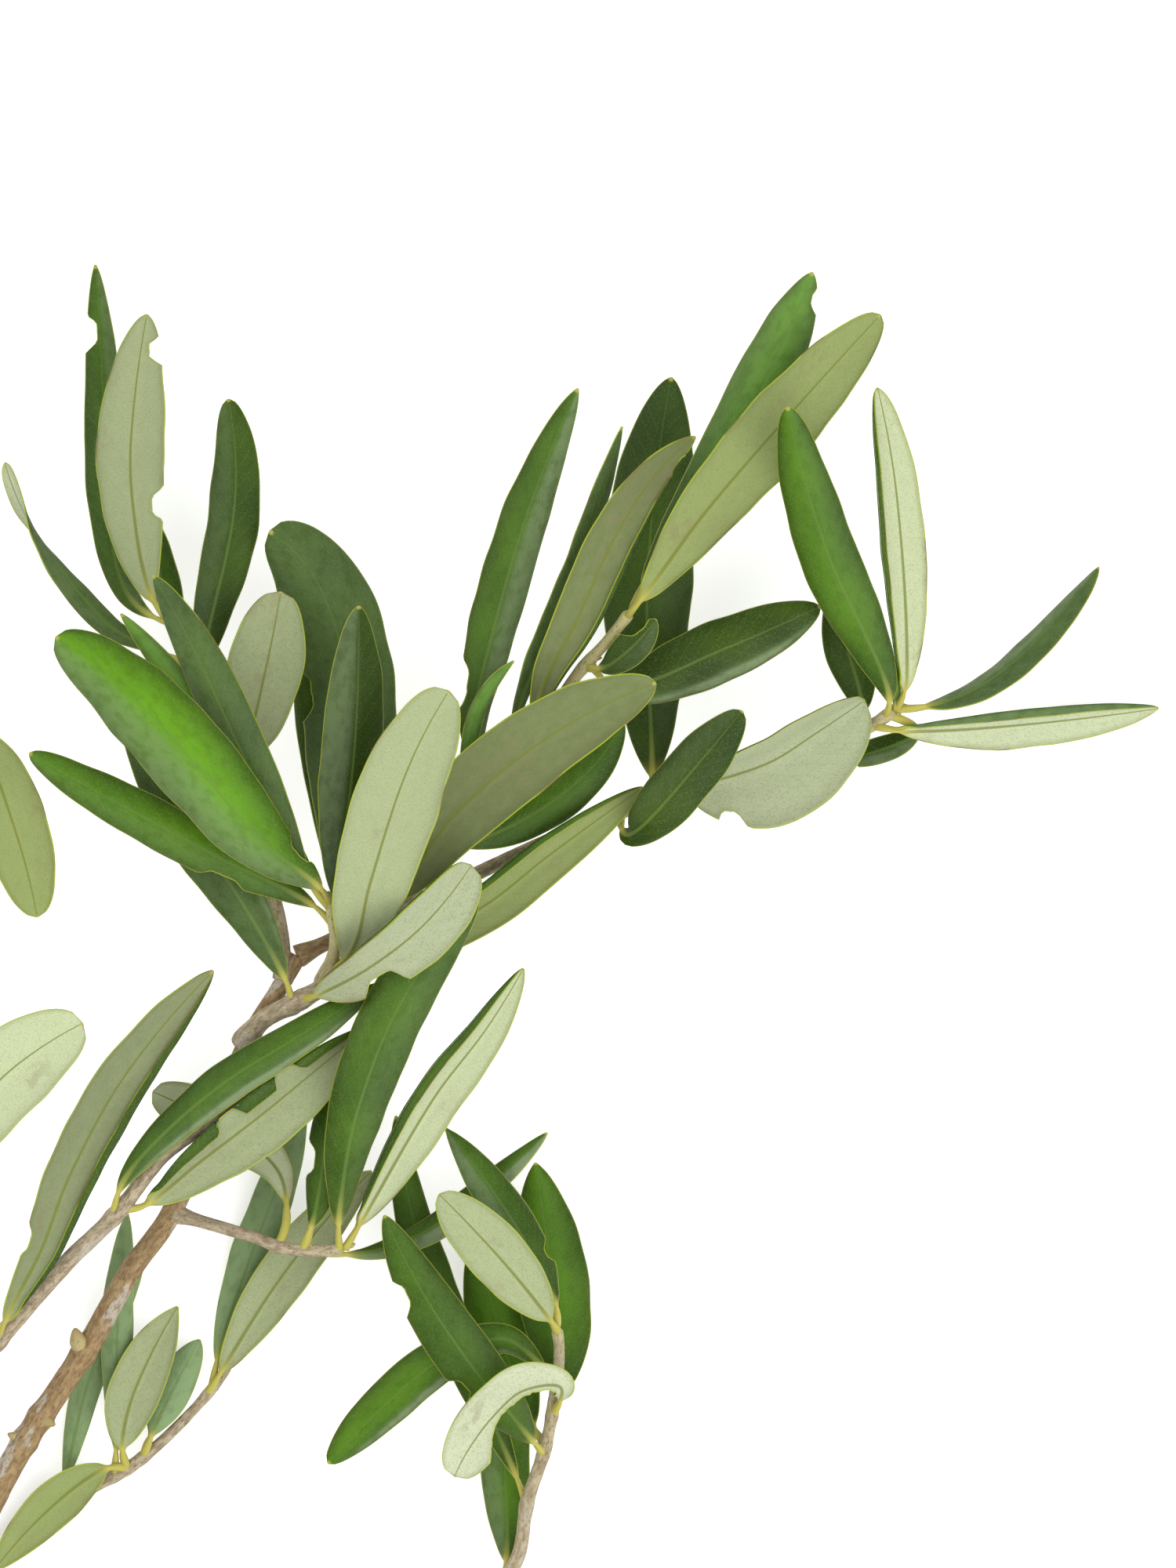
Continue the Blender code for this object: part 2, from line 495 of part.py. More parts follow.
def stem_mesh(shoot, path, extra=0.0):
    """Make a shoot's tapered stem; extra makes it fatter and longer all round."""
    count = max(4, round(path.length / STEM_STEP))
    places = [path.length * i / count for i in range(count + 1)]
    points = [path.point(place) for place in places]
    points[0] -= path.direction(0.0) * extra
    points[-1] += path.direction(path.length) * extra
    radii = [shoot.radius + (shoot.end_radius - shoot.radius) * place / path.length + extra
             for place in places]
    if shoot.parent and not extra:
        points.append(points[-1] + path.direction(path.length) * SHOOT_TIP_LENGTH)
        radii.append(SHOOT_TIP_RADIUS)
    return tube_mesh(shoot.name, points, radii)


def mesh_object(name, mesh, collection):
    """Add a mesh to a collection as an object."""
    item = bpy.data.objects.new(name, mesh)
    collection.objects.link(item)
    return item


def fuse(target, operation, tools):
    """Apply a Boolean of all objects in the tools collection to the target, and remove them."""
    modifier = target.modifiers.new(operation.lower(), "BOOLEAN")
    modifier.operation = operation
    modifier.operand_type = "COLLECTION"
    modifier.collection = tools
    modifier.solver = "EXACT"
    bpy.context.view_layer.update()
    result = bpy.data.meshes.new_from_object(target.evaluated_get(bpy.context.evaluated_depsgraph_get()))
    target.modifiers.remove(modifier)
    target.data = result
    for tool in list(tools.objects):
        bpy.data.objects.remove(tool)


def plant_material(name, colour):
    """A matt plant surface in one colour."""
    material = bpy.data.materials.new(name)
    material.use_nodes = True
    shader = material.node_tree.nodes["Principled BSDF"]
    shader.inputs["Base Color"].default_value = (*colour, 1.0)
    shader.inputs["Roughness"].default_value = PLANT_ROUGHNESS
    shader.inputs["Metallic"].default_value = 0.0
    return material


def build_shoot(shoot, paths, shoots):
    """Build one shoot: its stem, leaves and stubs fused, and its foot fitted to its parent."""
    path = paths[shoot.name]
    tools = bpy.data.collections.new("tools")
    bpy.context.scene.collection.children.link(tools)
    body = mesh_object(shoot.name, stem_mesh(shoot, path), bpy.context.scene.collection)
    for leaf in shoot.leaves:
        mesh_object(leaf.name, leaf_mesh(leaf, path), tools)
    for stub in shoot.stubs:
        root = path.point(path.nearest(*stub.root))
        tip = Vector(stub.tip)
        shoulder = root.lerp(tip, STUB_SHOULDER)
        radii = [stub.radius, stub.radius * STUB_SHOULDER, STUB_TIP_RADIUS]
        mesh = tube_mesh("stub", [root, shoulder, tip], radii)
        mesh_object("stub", mesh, tools)
    if tools.objects:
        fuse(body, "UNION", tools)
    if shoot.parent:
        parent = shoots[shoot.parent]
        mesh_object("socket", stem_mesh(parent, paths[parent.name], JOINT_GAP), tools)
        fuse(body, "DIFFERENCE", tools)
    bpy.data.collections.remove(tools)
    body.data.materials.clear()
    body.data.materials.append(plant_material(shoot.name + "_surface", shoot.colour))
    return body


def clear_scene():
    """Remove the objects of the start-up scene."""
    for item in list(bpy.data.objects):
        bpy.data.objects.remove(item)


def main():
    """Build the whole branch."""
    clear_scene()
    paths = {shoot.name: Path(shoot.route) for shoot in SHOOTS}
    shoots = {shoot.name: shoot for shoot in SHOOTS}
    for shoot in SHOOTS:
        build_shoot(shoot, paths, shoots)


main()
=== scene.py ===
"""The looks of a leafy olive branch that was cut and lies on a pale surface.

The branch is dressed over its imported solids: every shoot gets a stem with bark, knots and buds, and
leaves with a sunk midrib above, a raised one beneath, thin margins, bites and a yellow stalk.
The tables repeat the branch's layout in millimetres, measured from the lower left corner of the view.
"""
import json
import logging
import math
from dataclasses import dataclass, field
from enum import Enum

import bmesh
import bpy
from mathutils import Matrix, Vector
from mathutils.geometry import interpolate_bezier
from mathutils.noise import noise

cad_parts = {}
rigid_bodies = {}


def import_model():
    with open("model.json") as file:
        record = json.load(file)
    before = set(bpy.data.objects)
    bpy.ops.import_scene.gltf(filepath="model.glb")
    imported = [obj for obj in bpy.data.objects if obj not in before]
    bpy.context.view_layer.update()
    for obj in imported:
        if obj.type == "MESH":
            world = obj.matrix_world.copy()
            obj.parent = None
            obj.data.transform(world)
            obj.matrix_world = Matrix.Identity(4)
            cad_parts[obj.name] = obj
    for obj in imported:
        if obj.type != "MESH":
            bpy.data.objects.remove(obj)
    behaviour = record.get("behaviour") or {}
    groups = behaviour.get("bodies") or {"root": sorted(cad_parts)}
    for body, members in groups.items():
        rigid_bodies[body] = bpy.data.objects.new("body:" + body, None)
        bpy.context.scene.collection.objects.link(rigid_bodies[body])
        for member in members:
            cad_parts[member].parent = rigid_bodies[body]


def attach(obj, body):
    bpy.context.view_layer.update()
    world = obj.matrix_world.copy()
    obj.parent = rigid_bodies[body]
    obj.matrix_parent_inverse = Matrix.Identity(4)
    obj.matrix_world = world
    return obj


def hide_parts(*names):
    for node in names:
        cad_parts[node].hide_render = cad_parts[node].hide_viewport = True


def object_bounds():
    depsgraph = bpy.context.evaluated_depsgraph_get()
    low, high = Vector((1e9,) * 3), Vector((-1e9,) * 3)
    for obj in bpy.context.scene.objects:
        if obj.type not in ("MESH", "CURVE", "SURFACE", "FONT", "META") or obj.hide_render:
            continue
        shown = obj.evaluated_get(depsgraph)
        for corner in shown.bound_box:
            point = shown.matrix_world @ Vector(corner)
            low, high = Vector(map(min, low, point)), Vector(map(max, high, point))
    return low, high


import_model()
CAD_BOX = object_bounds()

LOG = logging.getLogger("olive_branch")
MM = 0.001
ORIGIN = Vector((89.2, 102.2, 0.0))
PETIOLE_LENGTH = 5.0
SEEDS_PER_SHOOT = 20
REST_HEIGHT = CAD_BOX[0][2] / MM + 0.01


@dataclass(frozen=True)
class Bite:
    """A piece missing from a leaf's edge; side is +1 on the right of the way from root to tip."""
    side: int
    place: float
    reach: float
    depth: float


@dataclass(frozen=True)
class Leaf:
    """A leaf from its root on the stem to its tip; roll 0 shows the upper side, 180 the underside."""
    name: str
    root: tuple[float, float]
    route: list[tuple[float, float, float]]
    width: float
    roll: float = 0.0
    twist: float = 0.0
    fold: float = 12.0
    petiole: float = PETIOLE_LENGTH
    widest: float = 0.5
    tip_fullness: float = 0.65
    bites: tuple[Bite, ...] = ()


@dataclass(frozen=True)
class Stub:
    """A short bud or broken twig on a stem."""
    root: tuple[float, float]
    tip: tuple[float, float, float]
    radius: float


@dataclass(frozen=True)
class Shoot:
    """A stem, the stem that it grows from, and its leaves."""
    name: str
    parent: str
    route: list[tuple[float, float, float]]
    radius: float
    end_radius: float
    leaves: tuple[Leaf, ...] = ()
    stubs: tuple[Stub, ...] = ()


MAIN_STEM = Shoot(
    "main_stem", "",
    [(-22, -24, 3.4), (-10, -3, 6), (0, 16, 9), (4.5, 24, 10), (16.5, 42, 13.5), (25, 57, 17),
     (32.5, 67.5, 19.5), (47.5, 101, 25), (53.5, 111, 26.5), (57, 117, 27)],
    3.3, 1.9,
    stubs=(Stub((15, 40), (14, 46, 17), 0.9), Stub((4.5, 24), (1, 25.5, 12), 1.2),
           Stub((7, 28), (10.5, 27, 14), 1.1)),
)

LEFT_SHOOT = Shoot(
    "left_shoot", "main_stem",
    [(54.2, 112.8, 26.7), (53, 126, 28.5), (48, 138, 30), (43, 151.5, 31), (38.5, 165, 31),
     (35.5, 175.5, 30), (32.5, 181.5, 29)],
    1.4, 1.0,
    leaves=(
        Leaf("long_bitten", (33, 180.5),
             [(24, 187, 24), (20.4, 204, 17), (19.3, 228, 8), (17.9, 249.7, 0.5)],
             8.2, petiole=3.5, widest=0.45, bites=(Bite(-1, 0.82, 0.047, 0.8),)),
        Leaf("pale_bitten", (32.5, 181), [(28.5, 187, 29), (25.5, 202.5, 27), (25, 216, 24), (28, 240, 20)],
             13.8, roll=180, tip_fullness=0.6,
             bites=(Bite(1, 0.33, 0.055, 0.4), Bite(1, 0.88, 0.045, 0.6))),
        Leaf("twisted", (36.5, 173), [(29, 176, 32), (20.5, 180.7, 33), (8, 196.5, 34), (1, 211.5, 32)],
             6.4, twist=165, widest=0.6, tip_fullness=0.5),
        Leaf("half_hidden", (35, 176), [(33.5, 180.5, 23), (29.8, 193, 16), (27.6, 203.5, 12)],
             7.0, roll=-10),
        Leaf("bluish", (38, 166), [(39.2, 176, 28), (44.8, 203, 24), (43.6, 223.8, 21)],
             10.5, widest=0.55, tip_fullness=0.5),
        Leaf("oval_pale", (43, 151.5), [(46.5, 155, 34), (50.7, 171, 36), (53.8, 186.8, 38)],
             15.5, roll=175, widest=0.55, tip_fullness=0.45),
    ),
)

RIGHT_SHOOT = Shoot(
    "right_shoot", "main_stem",
    [(57, 117, 27), (62, 119.4, 26.5), (91.5, 133, 24.5), (104.5, 139, 24), (114, 142.5, 23.5),
     (124.5, 147, 22), (135, 149.5, 19.5), (147, 152.5, 17.5), (159, 157, 17.5), (166.5, 161, 18.5),
     (171.5, 164.5, 20)],
    1.5, 1.1,
    leaves=(
        Leaf("tall_dark", (124.5, 147), [(124.8, 154, 18), (123.8, 184, 16), (125.3, 207, 15.5),
             (128.5, 228, 15)], 18.5, widest=0.55),
        Leaf("round_dark", (119, 145), [(118.8, 142, 27.5), (120.3, 140.3, 31.8), (124, 143, 36),
             (132, 152, 38.5), (142, 164, 38.5)], 11.5, petiole=7.0, tip_fullness=0.5),
        Leaf("white_bitten", (128, 147.8), [(133, 149.6, 22.3), (147, 154.2, 22.5), (156, 159.8, 22),
             (165.5, 166.2, 21.5)], 26.0, roll=213, fold=33, petiole=2.5, widest=0.45, tip_fullness=0.5,
             bites=(Bite(1, 0.2, 0.06, 0.3),)),
        Leaf("bright_upright", (169.5, 163), [(169.5, 169.5, 27), (158, 195, 39), (150.6, 222, 46)],
             12.0, tip_fullness=0.5),
        Leaf("hidden_dark", (165, 160), [(164.8, 166.5, 17.5), (161.5, 180.5, 17), (164.4, 194, 16)],
             9.5, petiole=3.5, widest=0.4),
        Leaf("pale_upright", (172, 165), [(173.5, 171.5, 26), (171.6, 204, 33), (167.8, 225.8, 33)],
             9.8, roll=212, fold=24, tip_fullness=0.55),
        Leaf("far_right", (171.5, 164.5), [(178.5, 165.1, 21), (187.8, 168.8, 21), (197.8, 176.8, 20),
             (210.4, 191.6, 17)], 7.4, roll=-38),
        Leaf("edge_on", (167, 161.3), [(174, 160.2, 20), (195, 161.4, 10), (222, 164.6, 0.9)],
             9.5, roll=235),
        Leaf("folded_under", (170, 163.3), [(175.5, 160, 17), (169.5, 156.8, 13.5), (160, 154.5, 12.5)],
             5.5, petiole=7.0, bites=(Bite(-1, 0.88, 0.1, 0.6),)),
        Leaf("bud_scale_left", (171.5, 164.5), [(171.2, 168, 23.5), (170.9, 174.6, 25)], 2.8, petiole=1.5),
    ),
)

MIDDLE_SHOOT = Shoot(
    "middle_shoot", "main_stem",
    [(47, 100.5, 24.8), (50.5, 105, 29), (57.8, 108.8, 32), (64.5, 113.3, 33.5), (70, 120.5, 34),
     (73.7, 125, 34), (84, 135, 34.5), (96, 150, 36), (103.5, 160.5, 36), (110.3, 170.7, 36),
     (116.3, 177.5, 35.5), (121, 183.5, 35)],
    1.9, 1.0,
    leaves=(
        Leaf("under_crown", (55.5, 108), [(54.3, 113.3, 34), (45.8, 128.2, 37), (35.3, 143.2, 38),
             (23.5, 164.3, 39)], 11.5),
        Leaf("silver_bitten", (58, 109), [(62, 110.3, 38.5), (71, 115.2, 46.5), (81.2, 123.3, 51),
             (90.2, 134.6, 51)], 14.0, roll=210, fold=26, widest=0.66, tip_fullness=0.42,
             bites=(Bite(1, 0.37, 0.1, 0.55),)),
        Leaf("yellow_green", (65.5, 114.5), [(71, 114.5, 31), (93, 127, 30), (105, 136.4, 30),
             (123, 149.4, 28.5)], 11.0, roll=195, fold=20),
        Leaf("broad_grey", (73, 124.5), [(76.5, 129, 38), (87, 144, 43), (105, 159, 45), (125.5, 169.3, 45)],
             16.5, roll=180, tip_fullness=0.52),
        Leaf("under_grey", (85, 136.3), [(88.8, 138, 31.5), (101, 143.6, 29.5), (112.5, 152.3, 29),
             (119.3, 162, 28)], 9.5),
        Leaf("slender_left", (94, 147.5), [(90.5, 160, 33), (94.8, 181, 32), (101.3, 203, 31),
             (110.6, 225.7, 30)], 10.4, roll=10, bites=(Bite(-1, 0.22, 0.06, 0.4),)),
        Leaf("small_tip", (89, 141.3), [(89.5, 155, 38.5), (92, 165.5, 39), (98.3, 173.5, 40)], 3.5),
        Leaf("grey_brown", (101, 157), [(104.5, 170, 38.5), (110.3, 181.2, 39), (117.2, 196.3, 37.5),
             (124.7, 208.3, 35.5), (133, 216.4, 33.5)], 10.5, roll=180, bites=(Bite(1, 0.9, 0.05, 0.4),)),
        Leaf("dark_behind", (98, 153), [(99.8, 166, 35), (110.9, 193, 32), (119, 218.4, 30)], 5.5, roll=30),
        Leaf("dark_sideways", (113, 173.8), [(119.5, 168.6, 32), (138, 175.6, 29.5), (157, 184, 27)],
             12.8, tip_fullness=0.58),
        Leaf("torn", (112, 172.6), [(117, 173, 38.5), (125.5, 181.5, 40)], 7.0, petiole=3.0,
             bites=(Bite(-1, 0.75, 0.2, 0.6),)),
        Leaf("long_pale", (120, 182.2), [(124, 187, 39.5), (134.6, 201.5, 39.5), (149.6, 219, 34),
             (168.5, 239.8, 29)], 14.6, roll=180, widest=0.55, tip_fullness=0.5),
        Leaf("upper_green", (121, 183.5), [(124, 190, 32), (136.5, 209.5, 29.5), (148, 231, 25.5),
             (155.5, 248, 23.5)], 12.2, widest=0.66, bites=(Bite(1, 0.93, 0.03, 0.4),)),
    ),
)

FRONT_SHOOT = Shoot(
    "front_shoot", "middle_shoot",
    [(62.2, 112, 33), (63.5, 116, 37), (64.4, 120, 41), (63.8, 124.5, 45), (63, 129.5, 48)],
    1.5, 0.9,
    leaves=(
        Leaf("bright_big", (63.3, 127.5), [(60.5, 131, 52), (49.8, 139.5, 59), (36.6, 155, 63),
             (23.4, 168.8, 63), (11, 178, 60)], 17.0, widest=0.53, tip_fullness=0.42,
             bites=(Bite(1, 0.12, 0.05, 0.4),)),
        Leaf("behind_big", (63.6, 126), [(58, 133.5, 50), (46.5, 156, 53), (37.2, 176, 54),
             (29.5, 189.8, 52)], 10.5, roll=-15, petiole=8.0),
        Leaf("tip_behind", (63.8, 124.8), [(59, 133, 47.5), (43, 157, 48.5), (32, 172, 49),
             (23.3, 182.5, 48.5)], 6.5),
        Leaf("lower_left", (64, 122.5), [(59, 127.5, 43.5), (43.5, 135.2, 47), (22.5, 146.5, 49),
             (5.8, 155.9, 46)], 9.9, tip_fullness=0.5, bites=(Bite(-1, 0.3, 0.07, 0.35),)),
        Leaf("dark_upright", (64, 123.5), [(65, 132, 48), (68, 158, 50), (68.7, 184, 49)],
             13.0, roll=15, tip_fullness=0.6),
        Leaf("broad_upper", (64.3, 120), [(66.5, 131, 38), (67, 152, 33), (65.6, 174, 30),
             (60.3, 189.3, 28.5), (51.5, 198.4, 28)], 19.8, widest=0.62, tip_fullness=0.42,
             bites=(Bite(-1, 0.56, 0.07, 0.3),)),
        Leaf("behind_broad", (64.3, 120.5), [(65.3, 131, 34.5), (63.2, 148, 29), (60.2, 165, 25.5),
             (58.6, 179, 24.5)], 9.4, widest=0.6),
        Leaf("light_front", (63, 114.5), [(68, 119.5, 44), (70.9, 131, 53), (78, 152.6, 57),
             (86, 167.8, 58)], 17.6, roll=185, widest=0.6, tip_fullness=0.42),
    ),
)

LOWER_SHOOT = Shoot(
    "lower_shoot", "main_stem",
    [(-12.5, -7, 5.5), (-18, 4, 8), (-18, 14, 12), (-11, 31.6, 20), (0.3, 44.5, 25), (12.3, 58, 29),
     (22.5, 68, 31), (31, 78.7, 33), (40, 85.2, 33.5), (51, 93, 34)],
    2.4, 1.2,
    leaves=(
        Leaf("grey_brown_left", (-1, 44), [(2.5, 50.5, 30.5), (7.9, 61, 32), (13.4, 75.3, 33), (24, 94.4, 32),
             (40.8, 114.3, 30)], 12.5, roll=203, fold=27, widest=0.55, bites=(Bite(-1, 0.22, 0.04, 0.3),)),
        Leaf("glossy", (21, 67), [(24.3, 75, 35), (33, 84.6, 37), (44, 93.6, 38.5), (56, 101, 38),
             (73, 112, 35)], 8.6, roll=-10),
        Leaf("folded_bitten", (23, 68.8), [(28, 69.6, 32), (37.5, 77.2, 33), (49.5, 86.4, 33.5),
             (60, 95, 33.5), (70, 103.3, 33)], 15.0, roll=210, fold=30,
             bites=(Bite(-1, 0.42, 0.06, 0.35), Bite(-1, 0.68, 0.06, 0.35))),
    ),
)

TWIG_SHOOT = Shoot(
    "twig_shoot", "main_stem",
    [(33, 67.8, 19.7), (40.5, 65.6, 21), (49.5, 62.9, 22.5), (53.3, 61.3, 23), (60, 60.6, 24),
     (66, 61, 25)],
    1.3, 1.0,
    leaves=(
        Leaf("curled", (53, 61.4), [(54.8, 67.5, 21), (53, 76, 17.5), (44.5, 83, 13.5), (29, 91, 12)],
             11.0, roll=180, petiole=9.0, widest=0.65, tip_fullness=0.42),
        Leaf("bitten_dark", (58, 60.8), [(60.3, 68, 27), (62, 80, 29), (62.3, 91.5, 29)],
             7.5, roll=-15, bites=(Bite(-1, 0.5, 0.13, 0.5),)),
        Leaf("bright_green", (64.8, 60.9), [(65, 69, 30), (68.6, 88, 40), (77.2, 109, 42), (91.6, 127.6, 43)],
             13.2, roll=10, widest=0.58),
        Leaf("pale_folded", (66, 61), [(69.5, 67, 27), (83, 90, 33), (93, 103.2, 35.5),
             (100.1, 114.8, 37)], 11.0, roll=214, fold=34),
        Leaf("long_dark", (61, 60.6), [(70, 60.2, 21.5), (81, 64, 20), (90, 70.6, 20), (97.5, 76.7, 20.5),
             (104.7, 83.2, 21)], 6.0, roll=-20),
    ),
)

BOTTOM_SHOOT = Shoot(
    "bottom_shoot", "main_stem",
    [(-17.5, -16.2, 4.8), (0, -22, 4.6), (30, -26, 4.4), (60, -24, 5), (84, -15, 8), (98.2, 0, 12),
     (101, 12.8, 14), (104.2, 22.5, 16), (106, 31.5, 18), (107, 40.5, 20), (106.3, 46.5, 21.5)],
    2.4, 1.0,
    leaves=(
        Leaf("pale_oval", (106.5, 45), [(104.3, 48.7, 27), (95.6, 59.4, 34), (84, 71.6, 36)],
             12.2, roll=180, widest=0.55, tip_fullness=0.52),
        Leaf("green_upper", (106.4, 46), [(105.7, 52, 25), (98.2, 66.2, 27.5), (85.2, 84.2, 27.5)],
             9.2, roll=10, widest=0.42, tip_fullness=0.8, bites=(Bite(1, 0.25, 0.05, 0.35),)),
        Leaf("large_behind", (106, 31.5), [(107.6, 37, 15), (105.6, 55, 12.5), (102.4, 77.4, 12)],
             15.0, petiole=3.0, widest=0.45, tip_fullness=0.75),
        Leaf("arched", (106, 34), [(103.5, 38.7, 22), (96, 43.8, 24), (84, 39.5, 24), (75, 32.3, 21),
             (62.6, 19.8, 16)], 9.6, widest=0.6, tip_fullness=0.5),
        Leaf("front_bitten", (104, 21.5), [(98, 29, 26), (90, 39, 30), (81, 52.5, 31), (73.5, 67.5, 30)],
             12.0, widest=0.42, bites=(Bite(-1, 0.35, 0.05, 0.4), Bite(-1, 0.72, 0.06, 0.4))),
        Leaf("rear_upright", (101, 12), [(98, 19, 12), (87.8, 42, 12.5), (82, 57, 13), (78.2, 70, 14),
             (75.7, 86.4, 14)], 8.5),
        Leaf("curled_white", (105.8, 29.5), [(107, 34.6, 27), (99.8, 33.8, 34), (94.3, 29, 37),
             (90, 23.3, 37), (87, 17.6, 35)], 12.0, roll=180, widest=0.65, tip_fullness=0.42,
             bites=(Bite(-1, 0.45, 0.38, 0.8),)),
        Leaf("low_dark", (95.5, -3), [(97, 5, 9), (96.6, 20, 7), (97.6, 41, 6)], 10.0, petiole=3.5),
        Leaf("low_hidden", (104.5, 23.5), [(100.5, 30, 11.5), (95.5, 45, 8.5), (91, 62.5, 8)], 12.5),
        Leaf("outer_first", (14, -24.2), [(20, -20, 8), (34, -12, 11), (52, -8, 10)], 9.5),
        Leaf("outer_second", (20, -25), [(25, -31, 7), (39, -39, 8), (57, -42, 6)], 10.0, roll=-10),
        Leaf("outer_third", (58, -24.3), [(62, -19, 9), (70, -11, 11), (80, -4, 11)], 7.5),
        Leaf("outer_fourth", (68, -22), [(75, -25, 9), (90, -27, 11), (108, -24, 9)], 9.5, roll=10),
    ),
)

REAR_SHOOT = Shoot(
    "rear_shoot", "main_stem",
    [(-13, -8.3, 5.4), (-5, -2, 3.5), (4.5, 5.3, 3), (14.5, 13.3, 3.5), (25, 19.2, 4), (33, 26, 4.5),
     (40, 33.5, 5), (44, 39, 5.5)],
    1.6, 0.9,
    leaves=(
        Leaf("soft_pale", (24, 18.6), [(23.2, 24, 8), (25.7, 34, 9), (33.8, 49.8, 9)], 11.0, roll=180,
             widest=0.42, tip_fullness=0.8),
        Leaf("lower_left_pale", (24, 18.6), [(18.5, 18, 8), (8, 9.8, 8), (-1.5, -1, 7)], 9.4, roll=180,
             widest=0.4, tip_fullness=0.75),
        Leaf("soft_green", (27, 20.6), [(29, 25.8, 6.8), (32.8, 33.8, 7.1), (38, 43.4, 6)], 7.8),
        Leaf("long_soft", (39.5, 33), [(43.5, 39.5, 8), (51.3, 52, 9.2), (60.3, 64, 9.6), (71, 75.8, 10)],
             10.5, roll=180),
        Leaf("grey_green", (40.5, 34.1), [(42, 42, 6.3), (47.3, 58, 6.6), (53.3, 74, 7), (58, 88.5, 8)], 8.6),
        Leaf("narrow_dark", (13, 9), [(12, 16, 4), (17.5, 38, 5), (27, 57, 6)], 6.0),
        Leaf("dark_rear", (22, 16.3), [(22, 24, 6.5), (22.3, 48, 9.5), (24.2, 67.5, 10)], 6.5),
    ),
)

OUTER_SHOOT = Shoot(
    "outer_shoot", "lower_shoot",
    [(-18, 8.5, 9.8), (-23, 18, 12), (-26, 35, 16), (-27, 70, 22), (-23, 110, 27), (-16, 145, 30),
     (-11, 163, 31)],
    1.7, 0.9,
    leaves=(
        Leaf("hanging_pale", (-11.5, 161.5), [(-4, 158, 34), (2.7, 142, 35), (7.2, 124.5, 33)],
             14.0, roll=180, tip_fullness=0.52),
        Leaf("near_pale", (-27, 66), [(-20, 73, 33), (-8, 85, 39), (3, 96, 41), (16, 104.3, 41)],
             18.0, roll=180, widest=0.62, tip_fullness=0.42),
        Leaf("outer_low", (-26.3, 40), [(-32, 46, 19), (-38, 60, 19), (-40, 78, 17)], 10.0),
        Leaf("outer_middle", (-24, 103), [(-30, 109, 26), (-37, 124, 25), (-40, 144, 23)], 11.0),
        Leaf("outer_upper", (-15, 148), [(-21, 155, 32), (-27, 170, 32), (-29, 190, 30)], 10.0, roll=180),
        Leaf("outer_tip", (-11, 163), [(-9, 170, 32), (-7, 184, 32), (-9, 202, 30)], 11.0),
    ),
)

SHOOTS = (MAIN_STEM, LEFT_SHOOT, RIGHT_SHOOT, MIDDLE_SHOOT, FRONT_SHOOT, LOWER_SHOOT, TWIG_SHOOT,
          BOTTOM_SHOOT, REAR_SHOOT, OUTER_SHOOT)


class Tone(Enum):
    """How a leaf is coloured: (painted glow of light shining through from behind, blue-grey bloom that is
    partly a painted sheen, paleness of the underside).
    """
    DEEP = (0.06, 0.03, 0.35)
    GREEN = (0.26, 0.04, 0.45)
    FRESH = (0.5, 0.02, 0.5)
    BRIGHT = (0.95, 0.02, 0.6)
    BLUE = (0.04, 0.26, 0.8)
    BLACK = (0.0, 0.0, 0.05)
    YOUNG = (0.9, 0.35, 0.95)
    HAZY = (0.3, 1.5, 0.6)
    FROST = (0.2, 0.5, 0.95)
    SAGE = (0.25, 0.03, 0.46)
    WHITE = (0.0, 0.03, 0.92)
    ASH = (0.1, 0.03, 0.66)
    LIME = (0.7, 0.0, 0.26)
    DULL = (0.15, 0.03, 0.1)
    GREY = (0.1, 0.03, 0.26)
    SOFT = (0.35, 0.03, 0.6)
    PALE = (0.35, 0.0, 0.97)


@dataclass(frozen=True)
class Hem:
    """A margin rolled under: its side as a bite's, its start as a share of the half width, its degrees."""
    side: int
    start: float
    turn: float


@dataclass(frozen=True)
class Look:
    """A leaf's tone, its painted gleam of sheen and painted highlight streak (minus on its left half), how
    far it opens flat, its hems.
    """
    tone: Tone
    gleam: float = 0.0
    opened: float = 0.0
    hems: tuple[Hem, ...] = ()
    highlight_streak: int = 0


PLAIN_LOOK = Look(Tone.GREEN)

